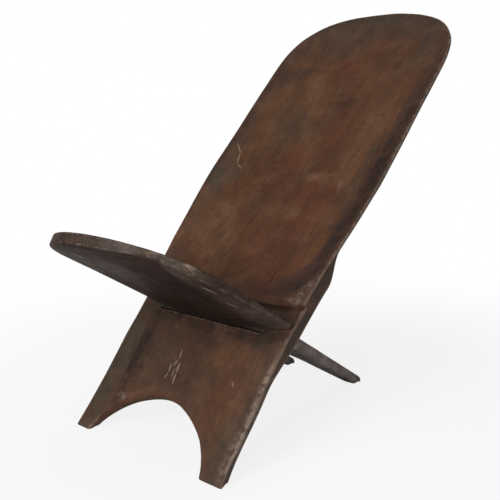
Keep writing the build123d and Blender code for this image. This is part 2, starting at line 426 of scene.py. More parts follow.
def walled_shell(outer: Array, inner: Array, cells: Mask,
                 wall_steps: int) -> tuple[Array, Indices, Indices]:
    """Close two sheets on one lattice with a wall wherever its cells stop.

    Args:
        outer: Points of the outer sheet, rows by columns by XYZ.
        inner: Points of the inner sheet, in the same order.
        cells: Which cells of the lattice are wood.
        wall_steps: Steps down the wall.

    Returns:
        The vertices, the four-sided faces, and each vertex's lattice index.
    """
    rows, columns = cells.shape
    index = np.arange((rows + 1) * (columns + 1)).reshape(rows + 1, columns + 1)
    quads = np.stack([index[:-1, :-1][cells], index[:-1, 1:][cells],
                      index[1:, 1:][cells], index[1:, :-1][cells]], axis=1)
    used, compact = np.unique(quads, return_inverse=True)
    quads = compact.reshape(quads.shape)
    first, last = border(cells)
    rim = np.unique(first)
    start, stop = np.searchsorted(rim, first), np.searchsorted(rim, last)
    top, under = outer.reshape(-1, 3), inner.reshape(-1, 3)
    shares = np.arange(1, wall_steps)[:, None, None] / wall_steps
    between = top[rim] * (1 - shares) + under[rim] * shares
    vertices = np.concatenate([top[used], under[used], between.reshape(-1, 3)])
    levels = [np.searchsorted(used, rim)]
    levels += [2 * len(used) + k * len(rim) + np.arange(len(rim)) for k in range(wall_steps - 1)]
    levels += [len(used) + levels[0]]
    walls = [np.stack([a[stop], a[start], b[start], b[stop]], axis=1)
             for a, b in zip(levels, levels[1:])]
    faces = np.concatenate([quads, quads[:, ::-1] + len(used), *walls])
    origin = np.concatenate([used, used, np.tile(rim, wall_steps - 1)])
    return vertices, faces, origin


def placed(name: str, data: bpy.types.ID) -> bpy.types.Object:
    """Put an object in the scene.

    Args:
        name: Its name.
        data: Its mesh, lamp or camera.

    Returns:
        The object.
    """
    made = bpy.data.objects.new(name, data)
    bpy.context.scene.collection.objects.link(made)
    return made


def make_mesh(name: str, vertices: Array, faces: Indices,
              marks: dict[str, Array]) -> bpy.types.Object:
    """Make a smooth mesh object that carries float marks for its material.

    Args:
        name: Name of the object.
        vertices: Its vertices.
        faces: Its four-sided faces.
        marks: Value at each vertex, by the name of the mark.

    Returns:
        The object, in the scene.
    """
    mesh = bpy.data.meshes.new(name)
    mesh.from_pydata(vertices.tolist(), [], faces.tolist())
    mesh.polygons.foreach_set("use_smooth", np.ones(len(faces), bool))
    for mark, values in marks.items():
        attribute = mesh.attributes.new(mark, "FLOAT", "POINT")
        attribute.data.foreach_set("value", values.astype(np.float32))
    mesh.update()
    return placed(name, mesh)


# ---- How the planks lie ----
@dataclass(frozen=True)
class Datum:
    """A flat working face, from which a plank's carving is measured.

    `lean` is how far its upward edge leans from upright, towards the rear. Places on it are
    (across, along, depth): across is X, along runs up the lean, and depth goes into the wood.
    """

    origin: Triple
    lean: float

    def place(self, across: Array, along: Array, depth: Array) -> Array:
        """Turn (across, along, depth) into X, Y, Z: the origin plus each times its direction.

        Args:
            across: Distances across.
            along: Distances up the lean.
            depth: Distances into the wood.

        Returns:
            The points, with X, Y, Z on the last axis.
        """
        s, c = math.sin(self.lean), math.cos(self.lean)
        x, y, z = self.origin
        return np.stack([x + across, y + along * s + depth * c, z + along * c - depth * s], axis=-1)

    def floor_along(self, depth: Array) -> Array:
        """Where a surface at that depth meets the floor, measured along the face."""
        return (depth * math.sin(self.lean) - self.origin[2]) / math.cos(self.lean)

    def mapping(self) -> tuple[Triple, Triple]:
        """Turn and shift that bring object coordinates to (across, along, -depth).

        Returns:
            The location and the rotation for a Mapping node.
        """
        turn = self.lean - math.pi / 2
        s, c = math.sin(turn), math.cos(turn)
        _, y, z = self.origin
        return (0.0, -(y * c - z * s), -(y * s + z * c)), (turn, 0.0, 0.0)


@dataclass(frozen=True)
class FrontFace:
    """Side view of the back plank's front face: an arc up from the floor, then straight."""

    floor_y: float = -0.250748  # where the face, before its panel is set back, meets the floor
    foot_lean: float = math.radians(37.2)
    blade_lean: float = math.radians(45.9)
    bend_length: float = 0.3525

    @property
    def radius(self) -> float:
        """Radius of the arc."""
        return self.bend_length / (self.blade_lean - self.foot_lean)

    def lean_at(self, height: float) -> float:
        """Lean from upright at a height up the arc."""
        return self.foot_lean + height / self.radius

    def point(self, height: float) -> Pair:
        """Y and Z of the face at a height up the arc: a circle's cosine and sine.

        Args:
            height: The height.

        Returns:
            Y and Z.
        """
        lean = self.lean_at(height)
        y = self.floor_y + self.radius * (math.cos(self.foot_lean) - math.cos(lean))
        return y, self.radius * (math.sin(lean) - math.sin(self.foot_lean))

    def datum(self) -> Datum:
        """The flat of the blade carried down past the bend, its origin a bend's length below.

        Returns:
            The flat.
        """
        y, z = self.point(self.bend_length)
        s, c = math.sin(self.blade_lean), math.cos(self.blade_lean)
        return Datum((0.0, y - self.bend_length * s, z - self.bend_length * c), self.blade_lean)

    def bow(self, along: Array) -> Array:
        """Depth of the arc behind that flat: the radius less its height over the chord."""
        below = np.maximum(self.bend_length - along, 0.0)
        return self.radius - np.sqrt(self.radius ** 2 - below ** 2)


@dataclass(frozen=True)
class Tail:
    """How the seat's tail passes through the back: its plane, and its size in the slot."""

    face: FrontFace
    slope: float = math.radians(32.2)
    height_on_back: float = 0.2175
    panel_step: float = 0.002
    width: float = 0.201
    thickness: float = 0.020
    clearance: float = 0.0012
    roundness: float = 0.45

    @property
    def half_slot(self) -> float:
        """Half the width of the slot."""
        return self.width / 2 + self.clearance

    @property
    def slot_corner(self) -> float:
        """Corner radius of the slot."""
        return self.roundness * self.thickness + self.clearance

    @property
    def slot_levels(self) -> Pair:
        """How far the floor and the roof of the slot lie below the tail's top."""
        return self.thickness + self.clearance, -self.clearance

    def slot_end(self, drop: float) -> float:
        """Half the slot's width at a level: full, less what a circle takes at its corners.

        Args:
            drop: How far the level lies below the tail's top.

        Returns:
            Half the width.
        """
        low, high = self.slot_levels
        centre, corner = (low + high) / 2, self.slot_corner
        past = max(abs(drop - centre) - (low - centre - corner), 0.0)
        return self.half_slot - corner + math.sqrt(max(corner ** 2 - past ** 2, 0.0))

    def datum(self) -> Datum:
        """The seat's top, measured down the tail from the front face of the back.

        Returns:
            The top.
        """
        y, z = self.face.point(self.height_on_back)
        lean = self.face.lean_at(self.height_on_back)
        origin = (0.0, y + self.panel_step * math.cos(lean), z - self.panel_step * math.sin(lean))
        return Datum(origin, self.slope + math.pi / 2)

    def slot_along(self, drop: float, depth: Array) -> Array:
        """Where a plane parallel to the tail's top cuts a surface of the back.

        In the back's own measure the plane rises by the tangent of the angle between tail and
        blade for each unit of depth, from the place where the tail's top meets the front.

        Args:
            drop: How far the plane lies below the tail's top.
            depth: Depth of the surface.

        Returns:
            The height along the back at which it cuts.
        """
        flat, top = self.face.datum(), self.datum()
        dy, dz = top.origin[1] - flat.origin[1], top.origin[2] - flat.origin[2]
        s, c = math.sin(flat.lean), math.cos(flat.lean)
        along, into = dy * s + dz * c, dy * c - dz * s
        turn = flat.lean - self.slope
        return along + (depth - into) * math.tan(turn) - drop / math.cos(turn)


# ---- What both planks share ----
@dataclass(frozen=True)
class Relief:
    """What the adze left on a face: scalloped strokes on a soft swell."""

    stroke: Pair  # a stroke's width and length
    stroke_height: float
    swell: Pair  # a swell's width and length
    swell_height: float
    stroke_seed: int
    swell_seed: int

    def height(self, sheet: Sheet, across: Array, along: Array) -> Array:
        """Height of strokes and swell together.

        Args:
            sheet: Which face.
            across, along: Places on the face.

        Returns:
            The heights.
        """
        strokes = tool_marks(across, along, self.stroke, sheet.seed(self.stroke_seed))
        swell = soft_noise(across, along, self.swell, sheet.seed(self.swell_seed))
        return self.stroke_height * strokes + self.swell_height * swell


@dataclass(frozen=True)
class Wear:
    """How work and use have changed one face, at each place of its lattice."""

    radius: Array  # of the arrises, before the wood limits it
    relief: Array  # height of the tool marks
    across: Array  # places across, moved
    sunk: Array  # how far the toes are worn down


@dataclass(frozen=True)
class Plank(ABC):
    """A plank carved on both faces: a lattice of cells, laid on each and walled together."""

    face: FrontFace
    tail: Tail
    tone_patches: dict[Sheet, tuple[TonePatch, ...]]
    drawn_on: Sheet = Sheet.OUTER  # the face that shows cracks and scratches
    most_round: float = 0.45  # share of the wood that an arris may take

    @abstractmethod
    def datum(self) -> Datum:
        """The flat working face that the plank is measured from."""

    @abstractmethod
    def cells(self) -> Mask:
        """Which cells of the lattice are wood."""

    @abstractmethod
    def sawn_rows(self) -> tuple[int, ...]:
        """Rows of the lattice along which the plank is cut off, with no worn arris."""

    @abstractmethod
    def lattice(self, sheet: Sheet) -> tuple[Array, Array]:
        """Places across and along of the lattice on one face."""

    @abstractmethod
    def outer_depth(self, across: Array, along: Array) -> Array:
        """Depth of the outer face."""

    @abstractmethod
    def inner_depth(self, across: Array, along: Array) -> Array:
        """Depth of the inner face."""

    @abstractmethod
    def hollow(self, across: Array, along: Array) -> Array:
        """How far into the outer face's hollow a place lies, from 0 to 1."""

    @abstractmethod
    def wear(self, sheet: Sheet, across: Array, along: Array, into: Array, wood: Array) -> Wear:
        """How the face is worn, given its lattice, its depth and the wood's thickness."""

    def aged_and_shaded(self, sheet: Sheet, across: Array, along: Array, marks: dict[str, Array]) -> None:
        """Change the marks where this plank alone has grown old or has painted shade; here it
        leaves them.
        """

    def depth(self, sheet: Sheet) -> Depth:
        """The depth of one face."""
        return self.outer_depth if sheet is Sheet.OUTER else self.inner_depth

    def arrises(self, cells: Mask) -> tuple[Indices, Indices]:
        """The lattice's edges that are worn round: all but those along its sawn rows.

        Args:
            cells: Which cells are wood.

        Returns:
            The flat indices of each edge's first and last lattice point.
        """
        first, last = border(cells)
        columns = cells.shape[1] + 1
        worn = np.ones(len(first), bool)
        for row in self.sawn_rows():
            worn &= (first // columns != row) | (last // columns != row)
        return first[worn], last[worn]

    def sheet(self, sheet: Sheet, cells: Mask) -> tuple[Array, dict[str, Array]]:
        """Carve one broad face of the plank.

        Args:
            sheet: Which face.
            cells: Which cells are wood.

        Returns:
            The face's points, and the marks for its finish.
        """
        outer = sheet is Sheet.OUTER
        across, along = self.lattice(sheet)
        places = np.stack([across, along], axis=-1)
        first, last = self.arrises(cells)
        flat = places.reshape(-1, 2)
        gap = gap_to_edges(places, flat[first], flat[last], EDGE_REACH)
        wood = self.inner_depth(across, along) - self.outer_depth(across, along)
        into = self.depth(sheet)(across, along)
        wear = self.wear(sheet, across, along, into, wood)
        most = self.most_round * wood
        fall = np.minimum(rounding(gap, np.minimum(wear.radius, most)) + wear.sunk, most)
        into = into + fall + wear.relief if outer else into - fall - wear.relief
        points = self.datum().place(wear.across, along, into)
        marks = {"arris": np.exp(-gap / ARRIS_FADE),
                 "hollow": self.hollow(across, along) if outer else np.zeros(across.shape),
                 "front": np.full(across.shape, float(sheet is self.drawn_on)),
                 **patch_strengths(across, along, self.tone_patches[sheet])}
        self.aged_and_shaded(sheet, across, along, marks)
        return points, marks

    def build(self, name: str) -> bpy.types.Object:
        """Carve both faces, wall them together, stand the feet on the floor and make the mesh.

        Args:
            name: Name of the plank.

        Returns:
            The plank, standing for its solid.
        """
        cells = self.cells()
        outer, outer_marks = self.sheet(Sheet.OUTER, cells)
        inner, inner_marks = self.sheet(Sheet.INNER, cells)
        vertices, faces, origin = walled_shell(outer, inner, cells, WALL_STEPS)
        vertices[:, 2] = np.maximum(vertices[:, 2], 0.0)
        count = len(np.unique(origin))
        broad, wall = origin[:count], origin[2 * count:]
        marks = {}
        for mark in outer_marks:
            near, far = outer_marks[mark].ravel(), inner_marks[mark].ravel()
            marks[mark] = np.concatenate([near[broad], far[broad], ((near + far) / 2)[wall]])
        marks["arris"][2 * count:] *= WALL_WEAR
        marks["side"] = (np.arange(len(vertices)) >= 2 * count).astype(float)
        log.info("%s: %d vertices, %d faces", name, len(vertices), len(faces))
        return make_mesh(name, vertices, faces, marks)


# ---- The back plank ----
@dataclass(frozen=True)
class BackPlank(Plank):
    """The tall plank: two feet under an arch, a thick band at the slot, a hollowed blade."""

    length: float = 0.807
    foot_spread: float = 0.279
    waist_width: float = 0.272
    waist_height: float = 0.050
    hip_height: float = 0.167
    blade_width: float = 0.318
    blade_height: float = 0.472
    crown_length: float = 0.131
    crown_fullness: float = 0.70
    arch_width: float = 0.212
    arch_height: float = 0.081
    arch_offset: float = -0.005  # of its middle, to the left of the plank's
    arch_fullness: float = 0.42
    arch_squareness: float = 1.65
    scoop_width: float = 0.009  # of the groove worn over the arch
    scoop_depth: float = 0.005
    scoop_end: float = 1.15  # where it runs out, in units of its width
    scoop_red: float = 0.6  # how red hands have made it
    scoop_red_ends: Pair = (1.3, 0.3)  # where the red runs out and where it is full
    scoop_arris: float = 0.5  # how much less pale its arris is
    edge_thickness: Levels = (0.013, 0.0165, 0.027, 0.006)  # at toe, leg, band and blade
    middle_thickness: Levels = (0.015, 0.022, 0.036, 0.018)
    toe_fade: float = 0.120
    band: Pair = (0.207, 0.288)
    band_fades: Pair = (0.078, 0.048)
    back_roundness: float = 4.0
    hollow_depth: float = 0.008
    rim_width: float = 0.007
    hollow_slopes: Triple = (0.027, 0.034, 0.070)  # side, foot, head
    hollow_foot: float = 0.246
    hollow_head_margin: float = 0.016
    hollow_corner: float = 0.078
    hollow_squareness: float = 2.5
    lip_height: float = 0.233
    lip_rise: float = 0.010  # at its ends, growing as the sixth power across
    lip_ends: Pair = (0.0015, 0.0005)  # how far above and below that the step reaches
    lip_step: float = 0.002
    crevice_depth: float = 0.0026  # worn into the wood under the lip
    crevice_width: float = 0.0020
    border_width: float = 0.036
    border_drop: float = 0.004
    border_fade: float = 0.090
    leg_rise: float = 0.075  # outer end of the lattice row across the top of a leg
    side_cells: int = 24
    middle_cells: int = 84
    row_cells: tuple[int, int, int, int] = (28, 46, 12, 240)  # legs, panel, slot, blade
    row_spans: Levels = (0.085, 0.115, 0.060, 0.530)  # legs, panel, foot and rest of the blade
    side_span: float = 0.045  # wood beside the arch and the slot
    crown_span: float = 0.160
    foot_rows: float = 0.25  # share of the blade's rows that crowd at its foot
    foot_share: float = 0.1  # share of its side that they take
    flank_samples: int = 300
    relief: Relief = Relief((0.017, 0.046), 0.00045, (0.06, 0.11), 0.0006, 21, 31)
    arris: float = 0.0024  # radius of the worn arrises
    arris_uneven: float = 0.35  # how far that varies
    arris_patch: Pair = (0.03, 0.03)  # and over what width and length
    arris_seed: int = 5
    wander: float = 0.0009  # how far the sawn outline strays inwards
    wander_size: Pair = (1.0, 0.045)
    wander_from: float = 0.45  # share of the half width past which it does
    wander_seed: int = 11
    toe_radius: float = 0.0042  # of the worn feet
    toe_sink: float = 0.6  # share of it that wears their front down
    slope_grime_and_shade: float = 0.75  # how dark the hollow's right slope is painted, partly grime and partly painted shade
    darkened_slope: Pair = (0.10, 0.92)  # shares of the slope between which it is darkened
    darkened_across: Pair = (0.05, 0.12)  # where the darkening starts and where it is full
    darkened_along: Pair = (0.700, 0.600)

    def datum(self) -> Datum:
        """The flat of the blade."""
        return self.face.datum()

    def half_width(self, along: Array) -> Array:
        """Half the sawn width: a flared foot, a straight waist and a swelling into the blade.

        Args:
            along: Heights up the plank, below its crown.

        Returns:
            Half the width there.
        """
        flare = (self.foot_spread - self.waist_width) / 2
        foot = flare * np.clip(1 - along / self.waist_height, 0.0, 1.0) ** 2
        swell = ease(self.hip_height, self.blade_height, along)
        return (self.waist_width + (self.blade_width - self.waist_width) * swell) / 2 + foot

    def thickness(self, along: Array, levels: Levels) -> Array:
        """Thickness up the plank, easing between its values at toe, leg, band and blade.

        Args:
            along: Heights up the plank.
            levels: The four values.

        Returns:
            The thickness.
        """
        toe, leg, band, blade = levels
        (low, high), (foot_fade, head_fade) = self.band, self.band_fades
        wood = toe + (leg - toe) * ease(0.0, self.toe_fade, along)
        wood = wood + (band - leg) * ease(low - foot_fade, low, along)
        return wood + (blade - band) * ease(high, high + head_fade, along)

    def hollow(self, across: Array, along: Array) -> Array:
        """How far into the blade's hollow a place lies, 0 on its rim and 1 on its floor.

        A contour is a shield: straight sides that follow the outline, a foot with two square
        quarter rounds and a crown, both of the form |x|^p + |y|^p = 1.

        Args:
            across, along: Places on the face.

        Returns:
            The share of the slope.
        """
        side, foot, head = self.hollow_slopes
        p, corner = self.hollow_squareness, self.hollow_corner
        base = self.length - self.crown_length

        def inside(share: Array) -> Array:
            """Which places lie inside the contours of these shares."""
            inset = self.rim_width + share * side
            low = self.hollow_foot + share * foot
            crown = self.length - self.hollow_head_margin - share * head - base
            edge = self.half_width(np.maximum(along, low + corner)) - inset
            over = np.clip((np.abs(across) - edge + corner) / corner, 0.0, None)
            under = np.clip((low + corner - along) / corner, 0.0, None)
            above = np.clip((along - base) / crown, 0.0, None)
            in_foot = over ** p + under ** p < 1.0
            in_crown = np.abs(across / edge) ** p + above ** p < 1.0
            return np.where(along < low + corner, in_foot & (under <= 1.0),
                            np.where(along > base, in_crown, np.abs(across) < edge))

        return deepest_share(inside, np.shape(across))

    def arch(self) -> Array:
        """The right half of the arch between the feet, from the floor to its top."""
        half = self.arch_width / 2
        return quarter((half, self.arch_height), (half, self.arch_height), self.arch_fullness)

    def over_arch(self, across: Array, along: Array) -> Array:
        """How much higher the arch would have to be to reach a place: |x|^p + |y|^p = 1.

        Args:
            across, along: Places on the face.

        Returns:
            The rise of its crown, negative inside the arch.
        """
        p = self.arch_squareness
        share = np.minimum(np.abs(across - self.arch_offset) / (self.arch_width / 2), 0.9999)
        return along / (1 - share ** p) ** (1 / p) - self.arch_height

    def outer_depth(self, across: Array, along: Array) -> Array:
        """Depth of the front: bowed, with the panel set back, the blade hollowed, the arch scooped.

        Args:
            across, along: Places on the face.

        Returns:
            Their depth behind the flat of the blade.
        """
        flat = self.waist_width / 2 - self.border_width
        drop = self.border_drop * ease(0.0, self.border_fade, along)
        crease = drop * np.maximum(np.abs(across) - flat, 0.0) / self.border_width
        lip = self.lip_height + self.lip_rise * (np.abs(across) / self.waist_width * 2) ** 6
        above, below = self.lip_ends
        set_back = (self.lip_step + crease) * ease(lip + above, lip - below, along)
        crevice = self.crevice_depth * np.exp(-((along - lip) / self.crevice_width) ** 2)
        hollow = self.hollow_depth * np.sin(self.hollow(across, along) * math.pi / 2)
        raised = self.over_arch(across, along)
        scoop = self.scoop_depth * ease(self.scoop_end * self.scoop_width, 0.0, raised)
        return self.face.bow(along) + set_back + crevice + hollow + scoop

    def inner_depth(self, across: Array, along: Array) -> Array:
        """Depth of the rear: the bow plus a thickness that falls as the fourth power across.

        Args:
            across, along: Places on the face.

        Returns:
            Their depth behind the flat of the blade.
        """
        edge = self.thickness(along, self.edge_thickness)
        middle = self.thickness(along, self.middle_thickness)
        share = np.minimum(np.abs(across) / self.half_width(along), 1.0)
        wood = middle - (middle - edge) * share ** self.back_roundness
        return self.face.bow(along) + wood

    def row(self, inner: Array, outer: Array, between: Array, shift: float = 0.0) -> Array:
        """One row of the lattice: a side, what lies between, and the other side.

        Args:
            inner: Where the right side starts, before the shift.
            outer: Where it ends, on the outline.
            between: The places between the sides, before the shift.
            shift: How far all but the outline is moved to the right.

        Returns:
            The row's places, from left to right.
        """
        share = margined(self.side_span, self.side_cells)[:, None]
        sides = []
        for sign in (-1, 1):
            start = inner * (sign, 1) + (shift, 0)
            sides.append(start + (outer * (sign, 1) - start) * share)
        left, right = sides
        return np.concatenate([left[::-1], between + (shift, 0), right])

    def leg_rows(self, depth: Depth) -> list[Array]:
        """Rows up the legs, from the arch's flank to the outline; the last goes over its crown.

        Args:
            depth: Depth of the sheet, which sets where the floor cuts it.

        Returns:
            The rows.
        """
        arch, floor = self.arch(), self.datum().floor_along
        split = len(arch) // 2
        flank = arch[:split + 1]
        shares = np.linspace(0.0, 1.0, len(flank))
        foot = np.interp(0.0, flank[:, 1] - settle(floor, depth, flank[:, 0], 0.0), shares)
        low = float(settle(floor, depth, np.array([self.foot_spread / 2]), 0.0)[0])
        middle = inside_shares(self.middle_cells)
        rows = []
        for share in margined(self.row_spans[0], self.row_cells[0], high=False):
            inner = np.array([np.interp(foot + (1 - foot) * share, shares, line)
                              for line in flank.T])
            height = low + (self.leg_rise - low) * share
            outer = np.array([float(self.half_width(np.array(height))), height])
            between = np.stack([inner[0] * middle, np.full(len(middle), inner[1])], axis=1)
            rows.append(self.row(inner, outer, between, self.arch_offset))
        crest = walk(mirrored(arch[split:]), (middle + 1) / 2) + (self.arch_offset, 0)
        rows[-1][self.side_cells + 1:-self.side_cells - 1] = crest
        return rows

    def slot_rows(self, depth: Depth) -> list[Array]:
        """Rows up the slot, each on a plane parallel to the tail.

        Args:
            depth: Depth of the sheet, which sets where those planes cut it.

        Returns:
            The rows.
        """
        waist, middle = self.waist_width / 2, inside_shares(self.middle_cells)
        low, high = self.tail.slot_levels
        rows = []
        for share in np.linspace(0.0, 1.0, self.row_cells[2] + 1):
            drop = low + (high - low) * share
            end = self.tail.slot_end(drop)
            level = self.row(np.array([end, 0.0]), np.array([waist, 0.0]),
                             np.stack([end * middle, 0.0 * middle], axis=1))
            level[:, 1] = settle(lambda d, drop=drop: self.tail.slot_along(drop, d), depth,
                                 level[:, 0], self.tail.height_on_back)
            rows.append(widened(level, end, waist, self.half_width(level[:, 1])))
        return rows

    def panel_rows(self, low: Array, high: Array) -> list[Array]:
        """Rows between arch and slot: straight blends, stretched to the outline.

        Args:
            low: The row over the arch.
            high: The slot's lowest row.

        Returns:
            The rows between them.
        """
        end = self.tail.slot_end(self.tail.slot_levels[0])
        rows = []
        for share in margined(self.row_spans[1], self.row_cells[1])[1:-1]:
            row = low + (high - low) * share
            wide = float(self.half_width(np.array(row[0, 1])))
            rows.append(widened(row, end, abs(row[0, 0]), wide))
        return rows

    def blade_rows(self, bottom: Array) -> Array:
        """Rows up the blade, from the slot's highest row to the crown.

        Args:
            bottom: The slot's highest row.

        Returns:
            The rows above it.
        """
        count = self.row_cells[3]
        crowded = int(count * self.foot_rows)
        foot = margined(self.row_spans[2], crowded, high=False)[1:]
        rest = margined(self.row_spans[3], count - crowded, low=False)[1:]
        along = np.concatenate([self.foot_share * foot,
                                self.foot_share + (1 - self.foot_share) * rest])
        across = margined(self.crown_span, len(bottom) - 1)
        half = self.blade_width / 2
        crown = quarter((half, self.length), (half, self.crown_length), self.crown_fullness)
        split = len(crown) // 2
        heights = np.linspace(bottom[-1, 1], self.length - self.crown_length, self.flank_samples)
        flank = np.stack([self.half_width(heights), heights], axis=1)
        right = walk(np.concatenate([flank, crown[1:split + 1]]), along)
        return blended(bottom, walk(mirrored(crown[split:]), across), right, across, along)

    def lattice(self, sheet: Sheet) -> tuple[Array, Array]:
        """Lay the lattice on one sheet, its lines following the outline, the arch and the slot.

        Args:
            sheet: Which face.

        Returns:
            Places across and along.
        """
        depth = self.depth(sheet)
        legs, slot = self.leg_rows(depth), self.slot_rows(depth)
        panel = self.panel_rows(legs[-1], slot[0])
        full = np.concatenate([legs, panel, slot, self.blade_rows(slot[-1])])
        return full[..., 0], full[..., 1]

    def sawn_rows(self) -> tuple[int, ...]:
        """The soles of the feet."""
        return (0,)

    def cells(self) -> Mask:
        """Which cells are wood: all but the arch between the legs and the slot.

        Returns:
            True for wood.
        """
        legs, panel, slot, blade = self.row_cells
        wood = np.ones((legs + panel + slot + blade, 2 * self.side_cells + self.middle_cells), bool)
        middle = slice(self.side_cells, -self.side_cells)
        wood[:legs, middle] = False
        wood[legs + panel:legs + panel + slot, middle] = False
        return wood

    def toe_round(self, across: Array, along: Array, depth: Array) -> tuple[Array, Array]:
        """Wear the feet round where they meet the floor.

        Each leg narrows towards its middle by what a circle falls away over the lowest few
        millimetres, in full at its sides and in proportion between.

        Args:
            across, along: Places on the face.
            depth: Their depths.

        Returns:
            The places across, moved, and how far the faces sink there.
        """
        height = along - self.face.datum().floor_along(depth)
        fall = rounding(np.maximum(height, 0.0), np.full(across.shape, self.toe_radius))
        inside = np.sign(across) * self.arch_width / 2 + self.arch_offset
        outside = np.sign(across) * self.foot_spread / 2
        share = np.clip(2 * (across - inside) / (outside - inside) - 1, -1.0, 1.0)
        return across - np.sign(across) * fall * share, fall

    def stray(self, across: Array, along: Array) -> Array:
        """Pull the outline inwards a little, as a hand-sawn edge wanders.

        Each side takes its own line of the noise.

        Args:
            across, along: Places on the face.

        Returns:
            The places across, moved.
        """
        side = np.sign(across)
        noise = soft_noise(side * 0.5 + 0.3, along, self.wander_size, self.wander_seed)
        reach = ease(self.wander_from, 1.0, np.abs(across) / self.half_width(along))
        return across - side * self.wander * (0.5 + 0.5 * noise) * reach

    def wear(self, sheet: Sheet, across: Array, along: Array, into: Array, wood: Array) -> Wear:
        """Unevenly worn arrises, feet worn round and a wandering outline.

        Args:
            sheet: Which face.
            across, along: Places on the face.
            into: Their depth.
            wood: Thickness of the wood there; not used here.

        Returns:
            The wear.
        """
        uneven = soft_noise(across, along, self.arris_patch, sheet.seed(self.arris_seed))
        radius = self.arris * (1 + self.arris_uneven * uneven)
        rounded, fall = self.toe_round(across, along, into)
        sunk = self.toe_sink * fall * (sheet is Sheet.OUTER)
        relief = self.relief.height(sheet, across, along)
        return Wear(radius, relief, self.stray(rounded, along), sunk)

    def aged_and_shaded(self, sheet: Sheet, across: Array, along: Array, marks: dict[str, Array]) -> None:
        """Darken the hollow's right slope with grime and painted shade, and redden the groove over
        the arch.

        Args:
            sheet: Which face.
            across, along: Places on the face.
            marks: The marks, which are changed in place.
        """
        starts, ends = self.darkened_slope
        slope = ease(1.0, ends, marks["hollow"]) * ease(0.0, starts, marks["hollow"])
        slope = slope * ease(*self.darkened_across, across) * ease(*self.darkened_along, along)
        marks["violet"] = coated(marks["violet"], self.slope_grime_and_shade * slope)
        fade, full = self.scoop_red_ends
        scooped = ease(fade * self.scoop_width, full * self.scoop_width,
                       self.over_arch(across, along))
        scooped = (sheet is Sheet.OUTER) * scooped
        marks["red"] = coated(marks["red"], self.scoop_red * scooped)
        marks["arris"] = marks["arris"] * (1 - self.scoop_arris * scooped)


